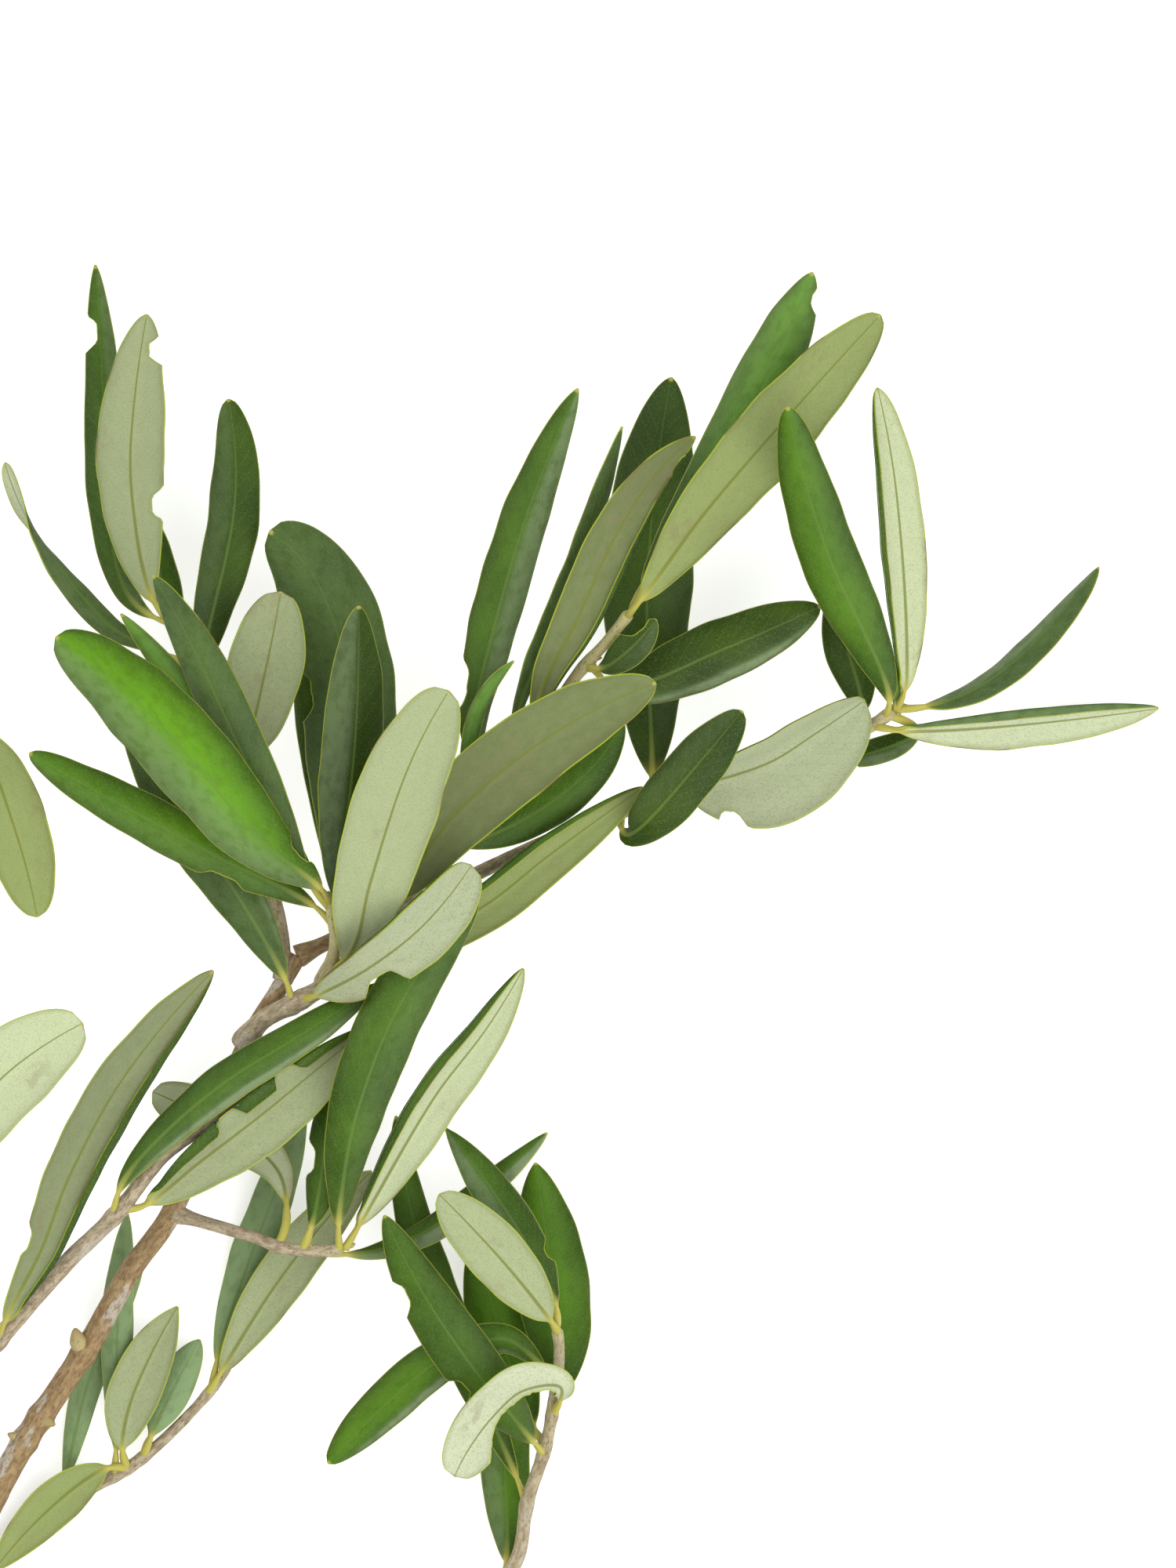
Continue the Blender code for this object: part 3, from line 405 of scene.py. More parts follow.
# Leaves that aren't listed have the plain look.
LEAF_LOOKS: dict[str, Look] = {
    "long_bitten": Look(Tone.GREEN, 0.6), "pale_bitten": Look(Tone.SAGE, hems=(Hem(-1, 0.85, 60),)),
    "twisted": Look(Tone.BLUE, -0.3), "bluish": Look(Tone.DEEP, -0.25), "oval_pale": Look(Tone.SAGE),
    "tall_dark": Look(Tone.DEEP, 0.1), "round_dark": Look(Tone.BLACK, -0.2),
    "white_bitten": Look(Tone.ASH), "bright_upright": Look(Tone.FRESH, 0.15),
    "hidden_dark": Look(Tone.DEEP), "far_right": Look(Tone.BLUE, -1.0),
    "pale_upright": Look(Tone.PALE, opened=0.6, hems=(Hem(-1, 0.74, 140),)),
    "edge_on": Look(Tone.FROST, opened=0.5, hems=(Hem(-1, 0.6, 140),)),
    "folded_under": Look(Tone.BLACK, -0.7), "bud_scale_left": Look(Tone.YOUNG),
    "under_crown": Look(Tone.BLUE, highlight_streak=1),
    "silver_bitten": Look(Tone.ASH, opened=0.3, hems=(Hem(-1, 0.88, 110),)),
    "yellow_green": Look(Tone.LIME, hems=(Hem(-1, 0.7, 135),)), "broad_grey": Look(Tone.DULL),
    "slender_left": Look(Tone.GREEN, 1.0), "small_tip": Look(Tone.YOUNG),
    "grey_brown": Look(Tone.DULL, hems=(Hem(1, 0.76, 130),)), "dark_behind": Look(Tone.BLUE),
    "dark_sideways": Look(Tone.BLACK, highlight_streak=1), "torn": Look(Tone.BLACK, 0.3),
    "long_pale": Look(Tone.LIME, hems=(Hem(1, 0.88, 80),)), "upper_green": Look(Tone.YOUNG),
    "bright_big": Look(Tone.BRIGHT, -0.75), "behind_big": Look(Tone.BLUE, -0.2),
    "tip_behind": Look(Tone.YOUNG), "lower_left": Look(Tone.FRESH, -0.2),
    "dark_upright": Look(Tone.BLACK, -0.7), "broad_upper": Look(Tone.BLUE),
    "behind_broad": Look(Tone.DEEP), "light_front": Look(Tone.SOFT),
    "grey_brown_left": Look(Tone.GREY, opened=0.5, hems=(Hem(1, 0.7, 140),)),
    "glossy": Look(Tone.GREEN, 0.15, highlight_streak=1),
    "folded_bitten": Look(Tone.SAGE, opened=0.4, hems=(Hem(-1, 0.6, 145),)),
    "curled": Look(Tone.FROST), "bright_green": Look(Tone.GREEN, 0.2),
    "pale_folded": Look(Tone.PALE, opened=0.6, hems=(Hem(-1, 0.66, 140),)),
    "long_dark": Look(Tone.GREEN, 1.7, highlight_streak=1), "pale_oval": Look(Tone.SOFT),
    "green_upper": Look(Tone.GREEN, -0.9), "large_behind": Look(Tone.FRESH),
    "arched": Look(Tone.FRESH, highlight_streak=-1), "front_bitten": Look(Tone.GREEN, 0.1),
    "curled_white": Look(Tone.WHITE), "low_dark": Look(Tone.FRESH, -0.7), "low_hidden": Look(Tone.FRESH),
    "soft_pale": Look(Tone.SAGE), "lower_left_pale": Look(Tone.LIME), "soft_green": Look(Tone.HAZY),
    "long_soft": Look(Tone.SAGE), "grey_green": Look(Tone.HAZY), "narrow_dark": Look(Tone.HAZY),
    "dark_rear": Look(Tone.HAZY), "hanging_pale": Look(Tone.LIME), "near_pale": Look(Tone.PALE),
}

# How young the bark of each stem is at its foot and at its tip.
YOUTH: dict[str, tuple[float, float]] = {
    "main_stem": (0.0, 0.1), "left_shoot": (0.25, 0.5), "right_shoot": (0.1, 0.75),
    "middle_shoot": (0.3, 1.0), "front_shoot": (0.7, 1.0), "lower_shoot": (0.3, 0.5),
    "twig_shoot": (0.3, 0.65), "bottom_shoot": (0.25, 0.7), "rear_shoot": (0.3, 0.6),
    "outer_shoot": (0.3, 0.8),
}


def make_mesh(name: str, bm: bmesh.types.BMesh) -> bpy.types.Mesh:
    """Turn a finished model into a mesh and free it.

    Args:
        name: The mesh's name.
        bm: The model, which is used up.

    Returns:
        The mesh.
    """
    mesh = bpy.data.meshes.new(name)
    bm.to_mesh(mesh)
    bm.free()
    return mesh


def add_object(name: str, data: bpy.types.ID) -> bpy.types.Object:
    """Put a mesh, a light or a camera into the scene.

    Args:
        name: The object's name.
        data: What it shows.

    Returns:
        The object.
    """
    item = bpy.data.objects.new(name, data)
    bpy.context.scene.collection.objects.link(item)
    return item


def smoothstep(low: float, high: float, value: float) -> float:
    """Rise smoothly from 0 at low to 1 at high.

    Args:
        low: The value where the rise starts.
        high: The value where it ends.
        value: The value looked up.

    Returns:
        A share from 0 to 1.
    """
    share = min(max((value - low) / (high - low), 0.0), 1.0)
    return share * share * (3.0 - 2.0 * share)


class Path:
    """A smooth line through some points, measured by the distance along it."""

    STEPS = 12

    def __init__(self, points: list) -> None:
        """Lay the line through the points.

        Args:
            points: The points, each (x, y, z) in millimetres.
        """
        corners = [Vector(point) for point in points]
        times = [0.0]
        for start, end in zip(corners, corners[1:]):
            times.append(times[-1] + (end - start).length)
        slopes = self.slopes(corners, times)
        self.points = [corners[0]]
        for i in range(len(corners) - 1):
            third = (times[i + 1] - times[i]) / 3.0
            handle = corners[i] + slopes[i] * third
            other = corners[i + 1] - slopes[i + 1] * third
            self.points += interpolate_bezier(corners[i], handle, other, corners[i + 1], self.STEPS + 1)[1:]
        self.distances = [0.0]
        for start, end in zip(self.points, self.points[1:]):
            self.distances.append(self.distances[-1] + (end - start).length)
        self.length = self.distances[-1]

    @staticmethod
    def slopes(corners: list[Vector], times: list[float]) -> list[Vector]:
        """Give each corner the slope of the line through its neighbours.

        Args:
            corners: The points that the line passes.
            times: The straight distance from the first point to each.

        Returns:
            One slope for each corner.
        """
        inner = [(corners[i + 1] - corners[i - 1]) / (times[i + 1] - times[i - 1])
                 for i in range(1, len(corners) - 1)]
        first = (corners[1] - corners[0]) / (times[1] - times[0])
        last = (corners[-1] - corners[-2]) / (times[-1] - times[-2])
        if inner:
            first = 2.0 * first - inner[0]
            last = 2.0 * last - inner[-1]
        return [first] + inner + [last]

    def point(self, distance: float) -> Vector:
        """Find the point at a distance along the line, clamped to its ends.

        Args:
            distance: Millimetres from the line's start.

        Returns:
            The point, in millimetres.
        """
        distance = min(max(distance, 0.0), self.length)
        for i in range(1, len(self.distances)):
            if distance <= self.distances[i]:
                span = self.distances[i] - self.distances[i - 1]
                return self.points[i - 1].lerp(self.points[i], (distance - self.distances[i - 1]) / span)
        return self.points[-1].copy()

    def direction(self, distance: float, reach: float = 0.9) -> Vector:
        """Find the unit direction of the line at a distance along it.

        Args:
            distance: Millimetres from the line's start.
            reach: How far before and after the place is looked at.

        Returns:
            The direction, of length 1.
        """
        return (self.point(distance + reach) - self.point(distance - reach)).normalized()

    def bend(self, distance: float, reach: float = 2.0) -> Vector:
        """Find how fast the direction changes, as a vector toward the inside of the bend.

        Args:
            distance: Millimetres from the line's start.
            reach: How far before and after the place is looked at.

        Returns:
            The change of direction for each millimetre.
        """
        ahead = self.direction(distance + reach)
        behind = self.direction(distance - reach)
        return (ahead - behind) / (2.0 * reach)

    def nearest(self, x: float, y: float) -> float:
        """Find the distance along the line of its point that is seen nearest to (x, y).

        Args:
            x: Millimetres to the right in the view.
            y: Millimetres up in the view.

        Returns:
            The distance along the line.
        """
        target = Vector((x, y))
        gaps = [(point.xy - target).length for point in self.points]
        return self.distances[gaps.index(min(gaps))]


class Value:
    """A number that a material works out, written as a Python expression."""

    def __init__(self, graph: "Graph", socket: bpy.types.NodeSocket) -> None:
        """Wrap a socket of a graph's node.

        Args:
            graph: The material's graph.
            socket: The output that gives the number.
        """
        self.graph = graph
        self.socket = socket

    def math(self, operation: str, *others: "Value | float") -> "Value":
        """Add a Math node with this value first.

        Args:
            operation: The Math node's operation.
            others: Its other inputs.

        Returns:
            The node's result.
        """
        node = self.graph.node("ShaderNodeMath", {"operation": operation}, [self, *others])
        return Value(self.graph, node.outputs[0])

    def __add__(self, other: "Value | float") -> "Value":
        """Add a number or value."""
        return self.math("ADD", other)

    def __radd__(self, other: float) -> "Value":
        """Add this to a number."""
        return self.math("ADD", other)

    def __sub__(self, other: "Value | float") -> "Value":
        """Subtract a number or value."""
        return self.math("SUBTRACT", other)

    def __rsub__(self, other: float) -> "Value":
        """Subtract this from a number."""
        return (self * -1.0) + other

    def __mul__(self, other: "Value | float") -> "Value":
        """Multiply by a number or value."""
        return self.math("MULTIPLY", other)

    def __rmul__(self, other: float) -> "Value":
        """Multiply a number by this."""
        return self.math("MULTIPLY", other)

    def __truediv__(self, other: "Value | float") -> "Value":
        """Divide by a number or value."""
        return self.math("DIVIDE", other)

    def __abs__(self) -> "Value":
        """Drop the sign."""
        return self.math("ABSOLUTE")

    def rise(self, low: "Value | float", high: "Value | float") -> "Value":
        """Rise smoothly from 0 at low to 1 at high.

        Args:
            low: The value where the rise starts.
            high: The value where it ends.

        Returns:
            A share from 0 to 1.
        """
        node = self.graph.node("ShaderNodeMapRange", {"interpolation_type": "SMOOTHSTEP"}, [self, low, high])
        return Value(self.graph, node.outputs[0])

    def fall(self, low: "Value | float", high: "Value | float") -> "Value":
        """Fall smoothly from 1 at low to 0 at high.

        Args:
            low: The value where the fall starts.
            high: The value where it ends.

        Returns:
            A share from 1 to 0.
        """
        return 1.0 - self.rise(low, high)


class Graph:
    """The nodes of one material."""

    NUMBER_INPUTS = (0, 2, 3)
    COLOUR_INPUTS = (0, 6, 7)
    COLOUR_OUTPUT = 2

    def __init__(self, name: str) -> None:
        """Start a material with one surface shader.

        Args:
            name: The material's name.
        """
        self.material = bpy.data.materials.new(name)
        self.material.use_nodes = True
        self.tree = self.material.node_tree
        self.shader = self.tree.nodes["Principled BSDF"]

    def node(self, kind: str, settings: dict | None = None,
             inputs: list | dict | None = None) -> bpy.types.Node:
        """Add a node, set it, and then fill its inputs.

        Args:
            kind: The node's type.
            settings: Its properties by name.
            inputs: Numbers, colours, values or sockets, in order or by the input's name or number.

        Returns:
            The node.
        """
        node = self.tree.nodes.new(kind)
        for key, setting in (settings or {}).items():
            setattr(node, key, setting)
        pairs = enumerate(inputs) if isinstance(inputs, list) else (inputs or {}).items()
        for key, given in pairs:
            self.fill(node.inputs[key], given)
        return node

    def fill(self, socket: bpy.types.NodeSocket, given: object) -> None:
        """Link a value or a socket to an input, or set the input's own number.

        Args:
            socket: The input.
            given: What it gets.
        """
        if isinstance(given, Value):
            given = given.socket
        if isinstance(given, bpy.types.NodeSocket):
            self.tree.links.new(given, socket)
        else:
            socket.default_value = given

    def attribute(self, name: str) -> Value:
        """Read one of the mesh's own numbers.

        Args:
            name: The attribute's name.

        Returns:
            Its number.
        """
        return Value(self, self.node("ShaderNodeAttribute", {"attribute_name": name}).outputs["Fac"])

    def vector(self, name: str) -> bpy.types.NodeSocket:
        """Read one of the mesh's own vectors."""
        return self.node("ShaderNodeAttribute", {"attribute_name": name}).outputs["Vector"]

    def place(self) -> bpy.types.NodeSocket:
        """Give the object coordinates."""
        return self.node("ShaderNodeTexCoord").outputs["Object"]

    def grain(self, place: bpy.types.NodeSocket, size_mm: float, detail: float = 2.0) -> Value:
        """Add a soft random pattern.

        Args:
            place: The coordinates, in metres.
            size_mm: The size of one patch.
            detail: How many finer patterns ride on it.

        Returns:
            A number round 0.5.
        """
        node = self.node("ShaderNodeTexNoise", None,
                         {"Vector": place, "Scale": 1.0 / (size_mm * MM), "Detail": detail})
        return Value(self, node.outputs["Fac"])

    def cells(self, place: bpy.types.NodeSocket, size_mm: float) -> Value:
        """Add a pattern of the distance from scattered points.

        Args:
            place: The coordinates, in metres.
            size_mm: The space between the points.

        Returns:
            The distance, in cells.
        """
        node = self.node("ShaderNodeTexVoronoi", None, {"Vector": place, "Scale": 1.0 / (size_mm * MM)})
        return Value(self, node.outputs["Distance"])

    def mix(self, share: "Value | float", first: object, second: object) -> bpy.types.NodeSocket:
        """Mix two colours.

        Args:
            share: How much of the second shows.
            first: A colour of four numbers, or a colour socket.
            second: The other colour.

        Returns:
            The mixed colour.
        """
        inputs = dict(zip(self.COLOUR_INPUTS, (share, first, second)))
        return self.node("ShaderNodeMix", {"data_type": "RGBA"}, inputs).outputs[self.COLOUR_OUTPUT]

    def blend(self, share: "Value | float", first: "Value | float", second: "Value | float") -> Value:
        """Mix two numbers.

        Args:
            share: How much of the second shows.
            first: The first number.
            second: The second number.

        Returns:
            The mixed number.
        """
        inputs = dict(zip(self.NUMBER_INPUTS, (share, first, second)))
        return Value(self, self.node("ShaderNodeMix", {"data_type": "FLOAT"}, inputs).outputs[0])

    def bump(self, height: Value, depth_mm: float, strength: float = 1.0) -> bpy.types.NodeSocket:
        """Turn a height into a surface normal.

        Args:
            height: The height, as a share of the depth.
            depth_mm: The depth of a height of 1.
            strength: How much of the slope shows.

        Returns:
            The normal.
        """
        node = self.node("ShaderNodeBump", None,
                         {"Strength": strength, "Distance": depth_mm * MM, "Height": height})
        return node.outputs["Normal"]

    def finish(self, **looks: object) -> bpy.types.Material:
        """Fill the surface shader's inputs.

        Args:
            looks: What each input gets, by its name with _ for a space.

        Returns:
            The material.
        """
        for key, given in looks.items():
            self.fill(self.shader.inputs[key.replace("_", " ")], given)
        return self.material


Colour = tuple[float, float, float, float]
WHITE: Colour = (1.0, 1.0, 1.0, 1.0)


@dataclass(frozen=True)
class LeafPatterns:
    """The patterns that colour both sides of a leaf, from coarse to fine, and its side veins."""
    cloud: Value
    mottle: Value
    scales: Value
    veins: Value


@dataclass(frozen=True)
class LeafFinish:
    """Leathery leaf: satin green above, matt grey-green beneath, with a pale midrib and margin."""
    deep: Colour = (0.015, 0.034, 0.001, 1.0)
    green: Colour = (0.034, 0.066, 0.003, 1.0)
    # Painted light shining through the leaf from behind.
    glow: Colour = (0.09, 0.24, 0.001, 1.0)
    # Blue-grey bloom of the leaf, partly a painted sheen.
    bloom_and_sheen: Colour = (0.17, 0.25, 0.11, 1.0)
    # Painted sheen on one half of the upper side, and the painted highlight streak.
    gleam: Colour = (0.14, 0.19, 0.09, 1.0)
    scale: Colour = (0.16, 0.2, 0.11, 1.0)
    dull: Colour = (0.09, 0.11, 0.036, 1.0)
    silver: Colour = (0.45, 0.49, 0.33, 1.0)
    lime: Colour = (0.25, 0.32, 0.06, 1.0)
    stain: Colour = (0.17, 0.13, 0.07, 1.0)
    rib_above: Colour = (0.1, 0.16, 0.03, 1.0)
    # Colour of the midrib beneath, also used for the painted shade along the margins.
    rib_and_edge_shade_beneath: Colour = (0.13, 0.15, 0.02, 1.0)
    margin: Colour = (0.3, 0.35, 0.02, 1.0)
    scorch: Colour = (0.13, 0.06, 0.025, 1.0)
    stalk: Colour = (0.36, 0.33, 0.07, 1.0)
    pebble_mm: float = 0.3
    pebble_depth_mm: float = 0.06
    pebble_strength: float = 0.7
    scale_mm: float = 0.22
    mottle_mm: float = 1.6
    cloud_mm: float = 9.0
    rib_mm: float = 0.3
    rib_tip_mm: float = 0.1
    rim_mm: tuple[float, float] = (0.05, 0.32)
    # Painted shade beneath along the margins: where it starts to fade and where it ends, in millimetres.
    shadow_mm: tuple[float, float] = (0.2, 1.4)
    vein_slant: float = 1.5
    vein_rate: float = 1.7
    matt: float = 0.75
    satin: float = 0.42
    specular: float = 0.12

    def make(self) -> bpy.types.Material:
        """Build the material.

        Returns:
            The leaf material, for both sides.
        """
        graph = Graph("olive_leaf")
        place = graph.vector("blade")
        across = abs(graph.attribute("across"))
        along = graph.attribute("along")
        upper = graph.attribute("upper").rise(0.45, 0.55)
        half = graph.attribute("half")
        edge = half - across
        patterns = LeafPatterns(graph.grain(place, self.cloud_mm, 1.0), graph.grain(place, self.mottle_mm),
                                graph.grain(place, self.scale_mm, 1.0), self.side_veins(graph, across))

        above = self.above(graph, patterns, across / half)
        beneath = self.beneath(graph, patterns, edge)
        rib_width = (1.0 - along) * self.rib_mm + self.rib_tip_mm
        line = across.fall(rib_width * 0.5, rib_width * 1.4)
        above = graph.mix(line * (0.75 - along * 0.5), above, self.rib_above)
        beneath = graph.mix(line * 0.8, beneath, self.rib_and_edge_shade_beneath)
        colour = graph.mix(upper, beneath, above)

        rim_colour = graph.mix(patterns.cloud.rise(0.58, 0.64) * 0.75, self.margin, self.scorch)
        colour = graph.mix(edge.fall(*self.rim_mm) * 0.8, colour, rim_colour)
        colour = graph.mix(along.rise(0.985, 0.995) * across.fall(0.15, 0.6), colour, self.stalk)
        base = along.fall(0.0, 0.14) * across.fall(0.2, 0.8)
        yellow = (graph.attribute("stalk") + base * 0.55).math("MINIMUM", 1.0)
        colour = graph.mix(yellow, colour, self.stalk)

        roughness = graph.blend(upper, self.matt, self.satin) + (patterns.mottle - 0.5) * 0.2
        pebble = graph.cells(place, self.pebble_mm)
        height = pebble.rise(0.0, 0.9) * graph.blend(upper, 0.3, 1.0) + patterns.veins * 0.4
        normal = graph.bump(height, self.pebble_depth_mm, self.pebble_strength)
        return graph.finish(Base_Color=colour, Roughness=roughness, Normal=normal,
                            Specular_IOR_Level=self.specular)

    def above(self, graph: Graph, patterns: LeafPatterns, spread: Value) -> bpy.types.NodeSocket:
        """Colour the upper side.

        Args:
            graph: The material's graph.
            patterns: The leaf's patterns.
            spread: The distance from the midrib, as a share of the half width.

        Returns:
            The colour without midrib and margin.
        """
        cloud, mottle = patterns.cloud, patterns.mottle
        # Painted light shining through from behind, strongest near the midrib and past the base.
        glow = graph.attribute("glow") * spread.fall(0.1, 1.3) * graph.attribute("along").rise(-0.1, 0.35)
        colour = graph.mix(cloud.rise(0.25, 0.75), self.deep, self.green)
        colour = graph.mix(glow * (0.65 + cloud * 0.6), colour, self.glow)
        # Blue-grey bloom, partly a painted sheen.
        colour = graph.mix(graph.attribute("bloom_and_sheen") * (0.5 + mottle * 0.5), colour, self.bloom_and_sheen)
        # Painted sheen on one half and painted highlight streak.
        colour = graph.mix(graph.attribute("gleam") * (0.3 + mottle * 0.6), colour, self.gleam)
        colour = graph.mix(mottle.fall(0.3, 0.55) * 0.2, colour, self.deep)
        colour = graph.mix(patterns.scales.rise(0.5, 0.75) * 0.22, colour, self.scale)
        return graph.mix(patterns.veins * 0.08, colour, self.rib_above)

    def beneath(self, graph: Graph, patterns: LeafPatterns, edge: Value) -> bpy.types.NodeSocket:
        """Colour the underside.

        Args:
            graph: The material's graph.
            patterns: The leaf's patterns.
            edge: The distance from the margin, in millimetres.

        Returns:
            The colour without midrib and margin.
        """
        pale = graph.attribute("pale") + (patterns.mottle - 0.5) * 0.14
        colour = graph.mix(pale, self.dull, self.silver)
        # Painted light shining through from behind, on the underside toward lime.
        colour = graph.mix(graph.attribute("glow") * 0.6, colour, self.lime)
        colour = graph.mix(patterns.scales.fall(0.3, 0.5) * 0.28, colour, self.dull)
        stained = patterns.cloud.rise(0.56, 0.74) * patterns.mottle.rise(0.42, 0.6)
        colour = graph.mix(stained * 0.35, colour, self.stain)
        # Painted shade near the margins.
        colour = graph.mix(edge.fall(*self.shadow_mm) * 0.22, colour, self.rib_and_edge_shade_beneath)
        return graph.mix(patterns.veins * 0.03, colour, self.rib_and_edge_shade_beneath)

    def side_veins(self, graph: Graph, across: Value) -> Value:
        """Draw the faint side veins, which leave the midrib at a slant.

        Args:
            graph: The material's graph.
            across: The distance from the midrib, in millimetres.

        Returns:
            A share that is 1 on a vein.
        """
        slant = graph.attribute("reach") - across * self.vein_slant
        wave = (slant * self.vein_rate).math("SINE")
        return wave.rise(0.75, 1.0) * across.rise(0.2, 1.0)


@dataclass(frozen=True)
class BarkFinish:
    """Bark: tan-brown with grey patches on old wood, grey-beige and then yellow-green on young wood."""
    brown: Colour = (0.17, 0.105, 0.045, 1.0)
    tan: Colour = (0.29, 0.2, 0.095, 1.0)
    grey: Colour = (0.37, 0.34, 0.28, 1.0)
    clay: Colour = (0.2, 0.155, 0.095, 1.0)
    beige: Colour = (0.37, 0.31, 0.205, 1.0)
    young: Colour = (0.42, 0.38, 0.17, 1.0)
    pore: Colour = (0.06, 0.035, 0.02, 1.0)
    bud: Colour = (0.26, 0.17, 0.07, 1.0)
    patch_mm: float = 4.0
    fibre_mm: float = 0.8
    speck_mm: float = 0.3
    pore_mm: float = 1.1
    relief_mm: float = 0.16
    relief_strength: float = 0.8
    matt: float = 0.78
    specular: float = 0.3

    def make(self) -> bpy.types.Material:
        """Build the material.

        Returns:
            The bark material, for old and young stems.
        """
        graph = Graph("olive_bark")
        place = graph.vector("bark")
        youth = graph.attribute("youth")
        patch = graph.grain(place, self.patch_mm, 3.0)
        fibre = graph.grain(place, self.fibre_mm, 3.0)
        speck = graph.grain(place, self.speck_mm, 1.0)
        pores = graph.cells(place, self.pore_mm)
        old = graph.mix(fibre.rise(0.3, 0.7), self.brown, self.tan)
        old = graph.mix(patch.rise(0.55, 0.62) * fibre.rise(0.3, 0.5) * 0.8, old, self.grey)
        middle = graph.mix(fibre.rise(0.3, 0.7), self.clay, self.beige)
        middle = graph.mix(patch.rise(0.5, 0.7) * 0.6, middle, self.grey)
        colour = graph.mix(youth.rise(0.05, 0.35), old, middle)
        colour = graph.mix(youth.rise(0.5, 1.0), colour, self.young)
        colour = graph.mix(speck.fall(0.3, 0.45) * 0.45, colour, self.pore)
        colour = graph.mix(pores.fall(0.08, 0.16) * 0.6, colour, self.pore)
        colour = graph.mix(graph.attribute("bud"), colour, self.bud)
        height = fibre * 0.5 + pores.rise(0.05, 0.3) * 0.4 + speck * 0.3
        normal = graph.bump(height, self.relief_mm, self.relief_strength)
        return graph.finish(Base_Color=colour, Roughness=self.matt, Normal=normal,
                            Specular_IOR_Level=self.specular)


@dataclass(frozen=True)
class CutFinish:
    """The pale wood of the cut end, with its pith and rings."""
    wood: Colour = (0.55, 0.42, 0.24, 1.0)
    ring: Colour = (0.38, 0.26, 0.13, 1.0)
    ring_rate: float = 9.0
    wander: float = 3.0
    wander_mm: float = 1.2
    pith_mm: tuple[float, float] = (0.2, 0.5)
    matt: float = 0.8

    def make(self) -> bpy.types.Material:
        """Build the material.

        Returns:
            The material of the cut.
        """
        graph = Graph("olive_cut_wood")
        radius = graph.attribute("cut_radius")
        wander = graph.grain(graph.place(), self.wander_mm) * self.wander
        wave = (radius * self.ring_rate + wander).math("SINE")
        colour = graph.mix(wave.rise(0.2, 1.0) * 0.7, self.wood, self.ring)
        colour = graph.mix(radius.fall(*self.pith_mm), colour, self.ring)
        return graph.finish(Base_Color=colour, Roughness=self.matt)


@dataclass(frozen=True)
class Section:
    """A leaf's cross section: its centre, directions, and half widths with the share kept of each."""
    centre: Vector
    normal: Vector
    right: Vector
    place: float
    halves: tuple[float, float]
    kept: tuple[float, float]
    view: int


